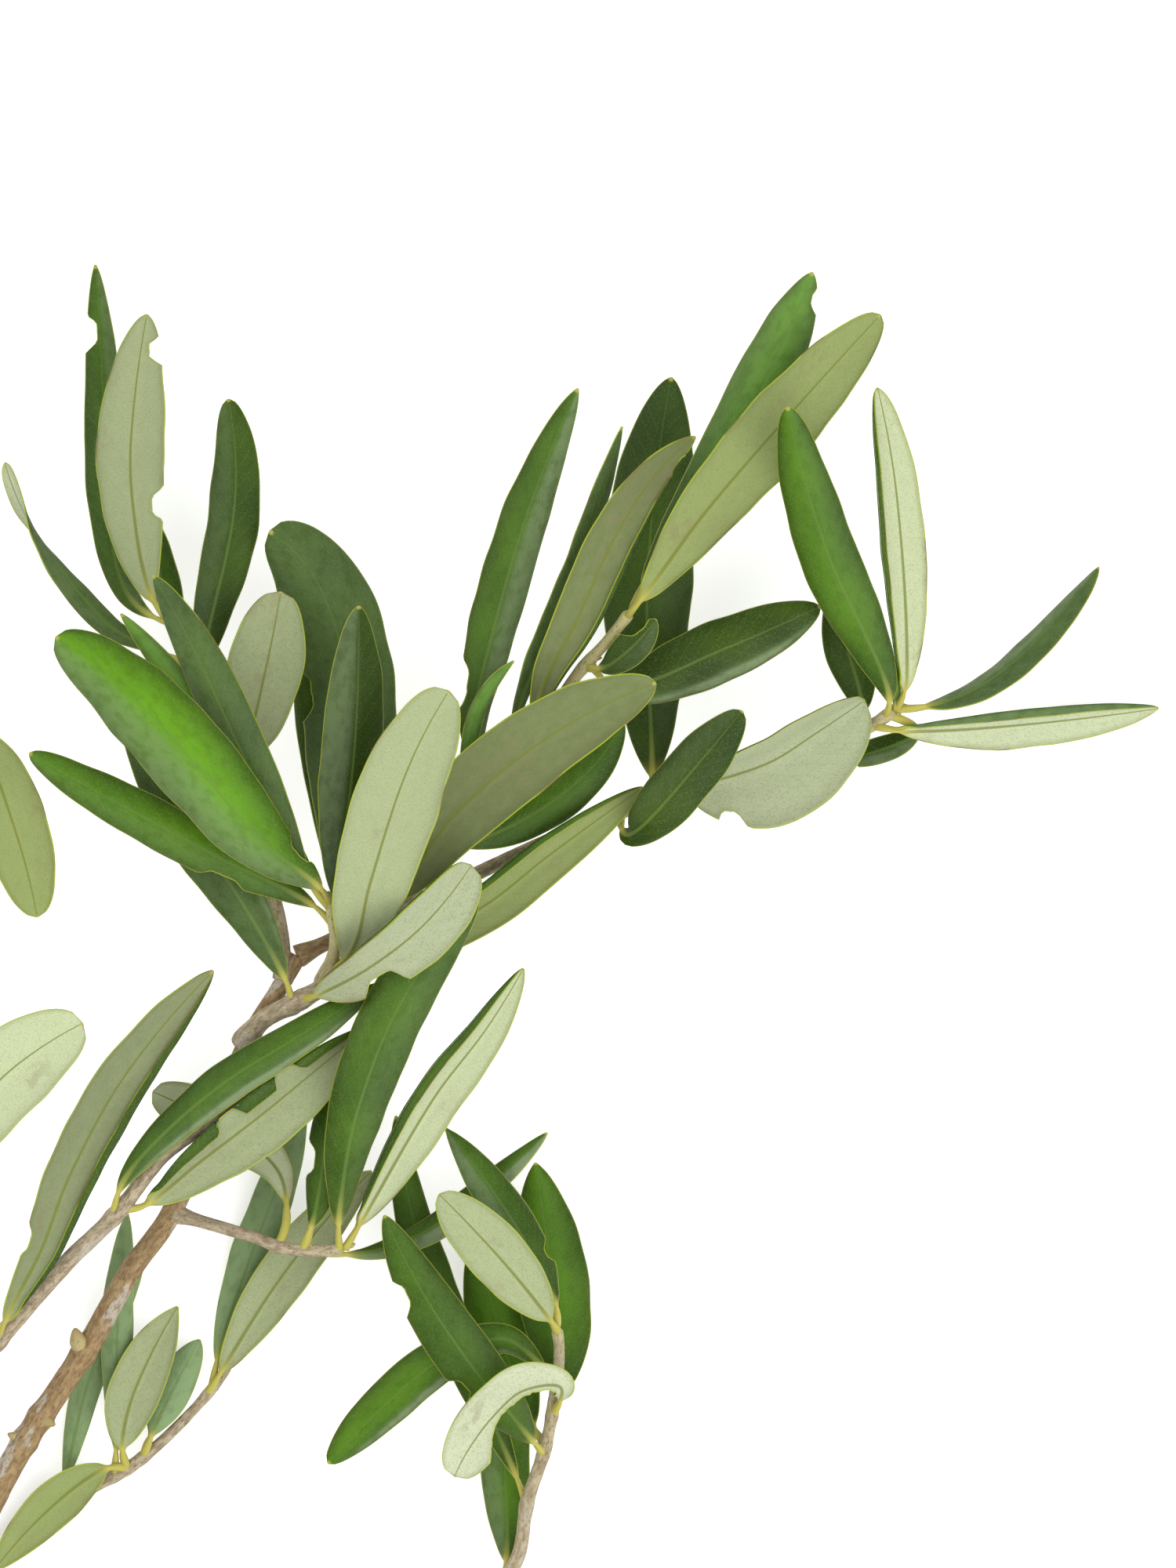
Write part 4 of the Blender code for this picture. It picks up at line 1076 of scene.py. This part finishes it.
@dataclass
class LeafMaker:
    """Models one leaf as a thin closed blade with a midrib and a stalk.

    Lengths are in millimetres, angles in degrees, a rate is how fast a noise changes, and the rest are
    shares. Where noise is read, the factors of side and seed only keep the half blades apart.
    """
    leaf: Leaf
    look: Look
    root: Vector
    seed: int
    columns: tuple[float, ...] = (0.0, 0.08, 0.2, 0.34, 0.48, 0.6, 0.7, 0.79, 0.87, 0.94, 1.0)
    step: float = 0.8
    least_rows: int = 10
    flat_fold: float = 12.0
    stalk_radius: float = 0.85
    blade_half: float = 0.17
    rim_half: float = 0.07
    rib_height: float = 0.32
    base_fullness: float = 0.75
    curl: float = 28.0
    curl_start: float = 0.6
    hem_ramp: float = 0.12
    hem_allowance: float = 0.6
    # The painted highlight streak: its strength, and its middle and half width as shares of the half blade.
    streak_strength: float = 2.4
    streak_middle: float = 0.8
    streak_half: float = 0.14
    wave: float = 0.35
    wave_rate: float = 0.16
    wander: float = 0.06
    wander_rate: float = 0.13
    rag: float = 0.12
    rag_rate: float = 90.0
    bite_fullness: float = 1.1
    most_bitten: float = 0.95
    least_half: float = 0.3
    tip_half: float = 0.22
    tip_start: float = 0.9
    bend_limit: float = 0.8
    least_bend: float = 0.001
    rib_half: float = 0.42
    rib_fade: float = 0.65
    groove_share: float = 0.25
    fold_reach: float = 0.3
    fold_gain: float = 1.15
    stalk_end: tuple[float, float] = (-0.1, 0.12)
    blade_start: tuple[float, float] = (-0.02, 0.1)
    green_start: tuple[float, float] = (-0.03, 0.06)
    pattern_squeeze: float = 0.6
    pattern_gap: float = 30.0
    path: Path = field(init=False)

    def __post_init__(self) -> None:
        """Lay the midrib."""
        self.path = Path([self.root] + self.leaf.route)

    def share(self, place: float) -> float:
        """Give the share of the blade's length at a place, below 0 on the stalk."""
        return (place - self.leaf.petiole) / (self.path.length - self.leaf.petiole)

    def bitten(self, side: int, share: float) -> float:
        """Work out how much of the half blade is missing.

        Args:
            side: The side as the viewer sees it, +1 on the right.
            share: The share of the blade's length.

        Returns:
            A share from 0, whole, to 1.
        """
        missing = 0.0
        for bite in self.leaf.bites:
            offset = abs(share - bite.place) / bite.reach
            if bite.side == side and offset < 1.0:
                ragged = 1.0 + self.rag * noise(Vector((share * self.rag_rate, side * 7.0, self.seed)))
                missing = bite.depth * min(1.0, (1.0 - offset ** 3) * self.bite_fullness) * ragged
        return min(missing, self.most_bitten)

    def outline(self, share: float) -> float:
        """Work out the blade's outline.

        Args:
            share: The share of the blade's length.

        Returns:
            The share of the full width there.
        """
        leaf = self.leaf
        if share < leaf.widest:
            return (1.0 - ((leaf.widest - share) / leaf.widest) ** 2) ** self.base_fullness
        return max(1.0 - ((share - leaf.widest) / (1.0 - leaf.widest)) ** 2, 0.0) ** leaf.tip_fullness

    def half_width(self, place: float, side: int, outward: Vector) -> float:
        """Work out the half width on one side.

        Args:
            place: Millimetres along the leaf.
            side: The side as the viewer sees it, +1 on the right.
            outward: The direction of that side.

        Returns:
            The half width in millimetres.
        """
        share = self.share(place)
        full = 0.0
        if 0.0 < share < 1.0:
            full = self.leaf.width / 2.0 * self.outline(share)
            full *= 1.0 + self.wander * noise(Vector((place * self.wander_rate, side * 5.0, self.seed)))
        full *= 1.0 - self.bitten(side, share)
        for hem in self.look.hems:
            if hem.side == side:
                full *= 1.0 + self.hem_allowance * (1.0 - hem.start)
        inward = self.path.bend(place).dot(outward)
        if inward > self.least_bend:
            full = min(full, self.bend_limit / inward)
        least = self.tip_half if share > self.tip_start else self.least_half
        taper = self.stalk_radius * (1.0 - smoothstep(*self.stalk_end, share))
        return max(full, taper, least)

    def section(self, place: float) -> Section:
        """Work out the leaf's cross section at a place.

        Args:
            place: Millimetres along the leaf.

        Returns:
            The section.
        """
        tangent = self.path.direction(place)
        toward_viewer = (Vector((0.0, 0.0, 1.0)) - tangent * tangent.z).normalized()
        aside = tangent.cross(toward_viewer)
        shows_underside = self.leaf.roll > 90.0
        lean = (self.leaf.roll - 180.0) * self.look.opened if shows_underside else 0.0
        roll = math.radians(self.leaf.roll - lean + self.leaf.twist * (place / self.path.length) ** 2)
        normal = toward_viewer * math.cos(roll) + aside * math.sin(roll)
        right = tangent.cross(normal)
        view = 1 if math.cos(roll) >= 0.0 else -1
        halves = (self.half_width(place, -view, -right), self.half_width(place, view, right))
        kept = tuple(1.0 - self.bitten(side, self.share(place)) for side in (-view, view))
        return Section(self.path.point(place), normal, right, place, halves, kept, view)

    def turn(self, side: int, spread: float) -> float:
        """Work out how far the margin is rolled toward the underside.

        Args:
            side: The side as the viewer sees it, +1 on the right.
            spread: The share of the whole half width.

        Returns:
            The angle in radians.
        """
        angle = self.curl * smoothstep(self.curl_start, 1.0, spread)
        for hem in self.look.hems:
            if hem.side == side:
                angle += hem.turn * smoothstep(hem.start, hem.start + self.hem_ramp, spread)
        return math.radians(angle)

    def shape(self, section: Section, column: int, above: bool) -> tuple[Vector, float, float]:
        """Place one corner of the blade.

        Args:
            section: The cross section that it is on.
            column: Its column, counted from the midrib, below 0 to the left.
            above: Whether it is on the upper side.

        Returns:
            Its position, its distance across and the half width there, in millimetres.
        """
        side = -1 if column < 0 else 1
        index = 0 if column < 0 else 1
        half, kept = section.halves[index], section.kept[index]
        spread = self.columns[abs(column)]
        share = self.share(section.place)
        blade = smoothstep(*self.blade_start, share)
        fold = self.leaf.fold + (self.flat_fold - self.leaf.fold) * self.look.opened
        fold = math.radians(fold) * blade
        out, down, angle = 0.0, 0.0, 0.0
        for low, high in zip(self.columns, self.columns[1:abs(column) + 1]):
            middle = (low + high) / 2.0
            angle = fold * smoothstep(0.0, self.fold_reach, middle) * self.fold_gain
            angle += self.turn(side * section.view, middle * kept) * blade
            out += math.cos(angle) * (high - low)
            down += math.sin(angle) * (high - low)
        ripple = noise(Vector((section.place * self.wave_rate, side * 3.0, self.seed * 1.7)))
        lift = self.wave * blade * spread ** 2 * ripple
        point = section.centre + section.right * (side * half * out) + section.normal * (lift - half * down)
        facing = section.normal * math.cos(angle) + section.right * (side * math.sin(angle))
        across = half * spread
        thick = self.blade_half + (self.rim_half - self.blade_half) * spread ** 3
        ridge = math.exp(-(across / self.rib_half) ** 2) * (1.0 - self.rib_fade * max(share, 0.0))
        ridge *= self.rib_height
        thick += -self.groove_share * ridge if above else ridge
        round_half = self.stalk_radius * math.sqrt(max(1.0 - spread ** 2, 0.0))
        offset = thick * blade + round_half * (1.0 - blade)
        return point + facing * (offset if above else -offset), side * across, half

    def shine(self, section: Section, column: int) -> float:
        """Work out how much painted sheen a place on the upper side has.

        Args:
            section: The cross section that it is on.
            column: Its column, counted from the midrib, below 0 to the left.

        Returns:
            The painted sheen, which can pass 1 in a painted highlight streak.
        """
        spread = self.columns[abs(column)]
        shine = max(self.look.gleam * section.view * (1 if column > 0 else -1), 0.0)
        shine *= smoothstep(0.0, self.fold_reach, spread)
        # Painted highlight streak along one half.
        if self.look.highlight_streak * section.view * column > 0:
            ends = math.sin(math.pi * min(max(self.share(section.place), 0.0), 1.0))
            band = math.exp(-((spread - self.streak_middle) / self.streak_half) ** 2)
            shine += self.streak_strength * band * max(ends, 0.0)
        return shine

    def make(self) -> bpy.types.Mesh:
        """Model the leaf.

        Returns:
            A closed mesh with the numbers that the leaf finish reads.
        """
        reach = len(self.columns) - 1
        count = max(self.least_rows, round(self.path.length / self.step))
        sections = [self.section(self.path.length * i / count) for i in range(count + 1)]
        bm = bmesh.new()
        bmesh.ops.create_grid(bm, x_segments=2 * reach, y_segments=count, size=1.0)
        bmesh.ops.solidify(bm, geom=bm.faces[:], thickness=0.5)
        names = ("across", "half", "along", "reach", "upper", "stalk", "gleam", "glow", "bloom_and_sheen", "pale")
        layers = [bm.verts.layers.float.new(name) for name in names]
        blade = bm.verts.layers.float_vector.new("blade")
        heights = [vertex.co.z for vertex in bm.verts]
        middle = (min(heights) + max(heights)) / 2.0
        for vertex in bm.verts:
            column = round(vertex.co.x * reach)
            section = sections[round((vertex.co.y + 1.0) / 2.0 * count)]
            above = vertex.co.z > middle
            position, across, half = self.shape(section, column, above)
            position.z = max(position.z, REST_HEIGHT)
            vertex.co = (position - ORIGIN) * MM
            share = self.share(section.place)
            numbers = (across, half, max(share, 0.0), section.place, float(above),
                       1.0 - smoothstep(*self.green_start, share), self.shine(section, column),
                       *self.look.tone.value)
            for layer, number in zip(layers, numbers):
                vertex[layer] = number
            vertex[blade] = Vector((across, section.place * self.pattern_squeeze,
                                    self.seed * self.pattern_gap)) * MM
        bmesh.ops.recalc_face_normals(bm, faces=bm.faces[:])
        for face in bm.faces:
            face.smooth = True
        return make_mesh(self.leaf.name, bm)


@dataclass
class StemMaker:
    """Models one stem as a knotty tube with buds and stubs; lengths are in millimetres."""
    shoot: Shoot
    path: Path
    seed: int
    sides: int = 20
    step: float = 0.7
    knot_reach: float = 1.5
    knot_height: float = 0.16
    foot_reach: float = 3.0
    foot_swell: float = 0.5
    tip_length: float = 1.6
    tip_taper: float = 0.75
    slimming: float = 0.14
    slimming_reach: float = 30.0
    roughness: float = 0.04
    lump_round: float = 0.9
    lump_along: float = 0.25
    fine_round: float = 2.6
    fine_along: float = 0.9
    fine_share: float = 0.6
    cap_inset: float = 0.3
    bark_stretch: float = 0.4
    bud_length: float = 1.5
    bud_slimness: float = 0.27
    bud_taper: float = 0.45
    bud_half: float = 0.5
    bud_centre: float = 0.3
    bud_youth: float = 0.9
    bud_brown: float = 0.35
    bud_tip_brown: float = 0.5
    bud_sink: float = 0.8
    bud_lift: float = 1.2
    bud_lean: float = 0.7
    stub_sink: float = 0.2
    stub_share: float = 0.95

    def knots(self) -> list[float]:
        """List the distances where leaves and stubs grow from the stem."""
        return [self.path.nearest(*item.root) for item in self.shoot.leaves + self.shoot.stubs]

    def radius(self, place: float, knots: list[float]) -> float:
        """Work out the stem's radius.

        Args:
            place: Millimetres along the stem.
            knots: Where leaves and stubs grow.

        Returns:
            The radius in millimetres.
        """
        share = place / self.path.length
        radius = self.shoot.radius + (self.shoot.end_radius - self.shoot.radius) * share
        near = min((abs(place - knot) for knot in knots), default=math.inf)
        radius *= 1.0 + self.knot_height * math.exp(-(near / self.knot_reach) ** 2)
        if self.shoot.parent:
            radius *= 1.0 + self.foot_swell * math.exp(-(place / self.foot_reach) ** 2)
            tip = smoothstep(self.path.length - self.tip_length, self.path.length, place)
            radius *= 1.0 - self.tip_taper * tip
        else:
            radius *= 1.0 - self.slimming * smoothstep(0.0, self.slimming_reach, place)
        return radius

    def make(self, youth: tuple[float, float]) -> bmesh.types.BMesh:
        """Model the stem.

        Args:
            youth: How young its bark is at its foot and at its tip.

        Returns:
            A closed tube with the numbers that the bark finish reads.
        """
        bm = bmesh.new()
        turn = bm.verts.layers.float.new("turn")
        layers = (bm.verts.layers.float.new("youth"), bm.verts.layers.float.new("bud"),
                  bm.verts.layers.float.new("cut_radius"), bm.verts.layers.float_vector.new("bark"))
        ring = bmesh.ops.create_circle(bm, segments=self.sides, radius=1.0)["verts"]
        for vertex in ring:
            vertex[turn] = math.atan2(vertex.co.y, vertex.co.x)
        count = round(self.path.length / self.step)
        knots = self.knots()
        normal = self.path.direction(0.0).orthogonal().normalized()
        edges = bm.edges[:]
        for i in range(count + 1):
            place = self.path.length * i / count
            tangent = self.path.direction(place)
            normal = (normal - tangent * normal.dot(tangent)).normalized()
            if i:
                grown = bmesh.ops.extrude_edge_only(bm, edges=edges)["geom"]
                ring = [item for item in grown if isinstance(item, bmesh.types.BMVert)]
                edges = [item for item in grown if isinstance(item, bmesh.types.BMEdge)
                         and item.verts[0] in ring and item.verts[1] in ring]
            self.lay_ring(ring, (turn, layers), place, tangent, normal, self.radius(place, knots), youth)
        bmesh.ops.holes_fill(bm, edges=[edge for edge in bm.edges if edge.is_boundary], sides=0)
        caps = [face for face in bm.faces if len(face.verts) > 4]
        for cap in caps:
            self.cap(bm, cap, layers[2])
        bmesh.ops.recalc_face_normals(bm, faces=bm.faces[:])
        for face in bm.faces:
            face.smooth = face.material_index == 0
        return bm

    def lay_ring(self, ring: list, layers: tuple, place: float, tangent: Vector, normal: Vector,
                 radius: float, youth: tuple[float, float]) -> None:
        """Move one ring of corners to its place on the stem.

        Args:
            ring: The ring's vertices.
            layers: The layer of each vertex's turn, and the layers that the finish reads.
            place: Millimetres along the stem.
            tangent: The stem's direction.
            normal: Where the ring's turn starts.
            radius: The stem's radius.
            youth: How young the bark is at the foot and at the tip.
        """
        turn, (youth_layer, bud_layer, cut_layer, bark_layer) = layers
        aside = tangent.cross(normal)
        centre = self.path.point(place)
        for vertex in ring:
            angle = vertex[turn]
            x, y = math.cos(angle), math.sin(angle)
            lump = noise(Vector((x * self.lump_round, y * self.lump_round,
                                 place * self.lump_along + self.seed * 9.0)))
            fine = noise(Vector((x * self.fine_round, y * self.fine_round,
                                 place * self.fine_along + self.seed * 5.0)))
            reach = radius * (1.0 + self.roughness * (lump + self.fine_share * fine))
            corner = centre + (normal * x + aside * y) * reach
            corner.z = max(corner.z, REST_HEIGHT)
            vertex.co = (corner - ORIGIN) * MM
            vertex[youth_layer] = youth[0] + (youth[1] - youth[0]) * place / self.path.length
            vertex[bud_layer] = 0.0
            vertex[cut_layer] = radius
            vertex[bark_layer] = Vector((x * radius, y * radius, place * self.bark_stretch)) * MM

    def cap(self, bm: bmesh.types.BMesh, face: bmesh.types.BMFace, cut_layer: object) -> None:
        """Close an end of the stem with rings of flat wood.

        Args:
            bm: The stem.
            face: The face that closes the end.
            cut_layer: The layer of the distance from the pith.
        """
        rim = self.cap_inset * MM
        inner = bmesh.ops.inset_region(bm, faces=[face], thickness=rim, use_even_offset=True)["faces"]
        middle = bmesh.ops.poke(bm, faces=[face])["verts"][0]
        middle[cut_layer] = 0.0
        for side in list(middle.link_faces) + inner:
            side.material_index = 1

    def add_bud(self, bm: bmesh.types.BMesh, foot: Vector, way: Vector, size: float) -> None:
        """Grow a small pointed bud.

        Args:
            bm: The stem.
            foot: Where it sits, in millimetres.
            way: Which way it points.
            size: Its length in millimetres.
        """
        made = bmesh.ops.create_icosphere(bm, subdivisions=2, radius=1.0)["verts"]
        turn = way.to_track_quat("Z", "Y")
        for vertex in made:
            x, y, z = vertex.co
            slim = self.bud_slimness * (1.0 - self.bud_taper * max(z, 0.0))
            spot = Vector((x * slim, y * slim, z * self.bud_half + self.bud_centre)) * size
            vertex.co = (foot + turn @ spot - ORIGIN) * MM
            vertex[bm.verts.layers.float["youth"]] = self.bud_youth
            vertex[bm.verts.layers.float["bud"]] = self.bud_brown + self.bud_tip_brown * max(z, 0.0)
            vertex[bm.verts.layers.float_vector["bark"]] = spot * MM
        for face in {face for vertex in made for face in vertex.link_faces}:
            face.smooth = True

    def grow_bud(self, bm: bmesh.types.BMesh, leaf: Leaf) -> None:
        """Set a bud in the angle between a leaf and the stem.

        Args:
            bm: The stem.
            leaf: The leaf.
        """
        place = self.path.nearest(*leaf.root)
        foot = self.path.point(place)
        ahead = self.path.direction(place)
        aside = Vector(leaf.route[0]) - foot
        aside = (aside - ahead * aside.dot(ahead)).normalized()
        start = foot + aside * self.radius(place, []) * self.bud_sink + ahead * self.bud_lift
        self.add_bud(bm, start, (ahead + aside * self.bud_lean).normalized(), self.bud_length)

    def grow_stub(self, bm: bmesh.types.BMesh, stub: Stub) -> None:
        """Set a stub on the stem.

        Args:
            bm: The stem.
            stub: The stub.
        """
        foot = self.path.point(self.path.nearest(*stub.root))
        way = Vector(stub.tip) - foot
        self.add_bud(bm, foot + way * self.stub_sink, way.normalized(), way.length * self.stub_share)


@dataclass
class Branch:
    """The whole branch: one stem piece and one leaf piece for each shoot."""
    shoots: tuple[Shoot, ...]
    leaf_finish: LeafFinish = LeafFinish()
    bark_finish: BarkFinish = BarkFinish()
    cut_finish: CutFinish = CutFinish()
    paths: dict[str, Path] = field(default_factory=dict)

    def build(self) -> None:
        """Model, dress and place every shoot."""
        leaf_material = self.leaf_finish.make()
        wood = (self.bark_finish.make(), self.cut_finish.make())
        self.paths = {shoot.name: Path(shoot.route) for shoot in self.shoots}
        for number, shoot in enumerate(self.shoots):
            pieces = [self.stem(shoot, number, wood)]
            if shoot.leaves:
                pieces.append(self.foliage(shoot, number, leaf_material))
            for piece in pieces:
                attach(piece, "root")
                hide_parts(shoot.name)
                LOG.info("%s: %d faces", piece.name, len(piece.data.polygons))

    def stem(self, shoot: Shoot, number: int, wood: tuple[bpy.types.Material, ...]) -> bpy.types.Object:
        """Model a shoot's stem with its buds and stubs.

        Args:
            shoot: The shoot.
            number: Its place in the table, which seeds its random numbers.
            wood: The bark and the cut wood.

        Returns:
            The piece.
        """
        maker = StemMaker(shoot, self.paths[shoot.name], number)
        bm = maker.make(YOUTH[shoot.name])
        for leaf in shoot.leaves:
            maker.grow_bud(bm, leaf)
        for stub in shoot.stubs:
            maker.grow_stub(bm, stub)
        return self.piece(shoot.name + "_wood", bm, wood, "bark")

    def foliage(self, shoot: Shoot, number: int, material: bpy.types.Material) -> bpy.types.Object:
        """Model a shoot's leaves as one piece.

        Args:
            shoot: The shoot.
            number: Its place in the table, which seeds its random numbers.
            material: The leaf material.

        Returns:
            The piece.
        """
        bm = bmesh.new()
        path = self.paths[shoot.name]
        for index, leaf in enumerate(shoot.leaves):
            seed = number * SEEDS_PER_SHOOT + index + 1
            root = path.point(path.nearest(*leaf.root))
            look = LEAF_LOOKS.get(leaf.name, PLAIN_LOOK)
            bm.from_mesh(LeafMaker(leaf, look, root, seed).make())
        return self.piece(shoot.name + "_leaves", bm, (material,), "foliage")

    @staticmethod
    def piece(name: str, bm: bmesh.types.BMesh, materials: tuple, slot: str) -> bpy.types.Object:
        """Make a finished mesh into an object.

        Args:
            name: The piece's name.
            bm: Its mesh, which is used up.
            materials: Its materials, in the order of the face numbers.
            slot: The record's material slot; not used.

        Returns:
            The object.
        """
        mesh = make_mesh(name, bm)
        for material in materials:
            mesh.materials.append(material)
        item = add_object(name, mesh)
        return item


@dataclass(frozen=True)
class Lamp:
    """A soft square light: its place and the length of its side in metres, and its power in watts."""
    name: str
    place: tuple[float, float, float]
    size: float
    power: float


@dataclass(frozen=True)
class Studio:
    """A pale floor, soft light and a camera that looks straight down."""
    lamps: tuple[Lamp, ...] = (Lamp("key", (0.8, -0.7, 1.6), 2.4, 54.0),
                               Lamp("fill", (-1.1, 0.8, 1.5), 2.2, 28.0))
    view_centre: tuple[float, float, float] = (112.5, 150.0, 30.0)
    view_height: float = 300.0
    distance: float = 8.0
    far_clip: float = 20.0
    sensor: float = 36.0
    floor_size: float = 6.0
    paleness: float = 0.8
    floor_matt: float = 0.9
    floor_light: float = 0.45
    sky_light: float = 0.5

    def build(self) -> None:
        """Build the floor, the lights and the camera."""
        self.floor()
        self.sky()
        for lamp in self.lamps:
            self.hang(lamp)
        self.camera()

    def target(self) -> Vector:
        """Give the point that the camera looks at, in metres."""
        return (Vector(self.view_centre) - ORIGIN) * MM

    def floor(self) -> None:
        """Lay the floor at the height that the branch rests on."""
        bm = bmesh.new()
        bmesh.ops.create_grid(bm, x_segments=1, y_segments=1, size=self.floor_size / 2.0)
        mesh = make_mesh("floor", bm)
        shade = (self.paleness, self.paleness, self.paleness, 1.0)
        mesh.materials.append(Graph("pale_floor").finish(
            Base_Color=shade, Roughness=self.floor_matt, Emission_Color=WHITE,
            Emission_Strength=self.floor_light))
        add_object("floor", mesh)

    def sky(self) -> None:
        """Light the scene evenly from all round."""
        world = bpy.data.worlds.new("studio")
        bpy.context.scene.world = world
        world.use_nodes = True
        background = world.node_tree.nodes["Background"]
        background.inputs["Color"].default_value = WHITE
        background.inputs["Strength"].default_value = self.sky_light

    def hang(self, lamp: Lamp) -> None:
        """Hang a light that faces the branch.

        Args:
            lamp: The light.
        """
        data = bpy.data.lights.new(lamp.name, "AREA")
        data.energy = lamp.power
        data.size = lamp.size
        item = add_object(lamp.name, data)
        item.location = lamp.place
        item.rotation_euler = (self.target() - Vector(lamp.place)).to_track_quat("-Z", "Y").to_euler()

    def camera(self) -> None:
        """Look straight down with a long lens."""
        data = bpy.data.cameras.new("camera")
        data.sensor_fit = "VERTICAL"
        data.sensor_height = self.sensor
        data.lens = self.sensor * self.distance / (self.view_height * MM)
        data.clip_end = self.far_clip
        camera = add_object("camera", data)
        camera.location = self.target() + Vector((0.0, 0.0, self.distance))
        bpy.context.scene.camera = camera


def main() -> None:
    """Build the branch and its studio."""
    logging.basicConfig(level=logging.INFO, format="%(message)s")
    bpy.context.scene.view_settings.view_transform = "Standard"
    Branch(SHOOTS).build()
    Studio().build()


if __name__ == "__main__":
    main()
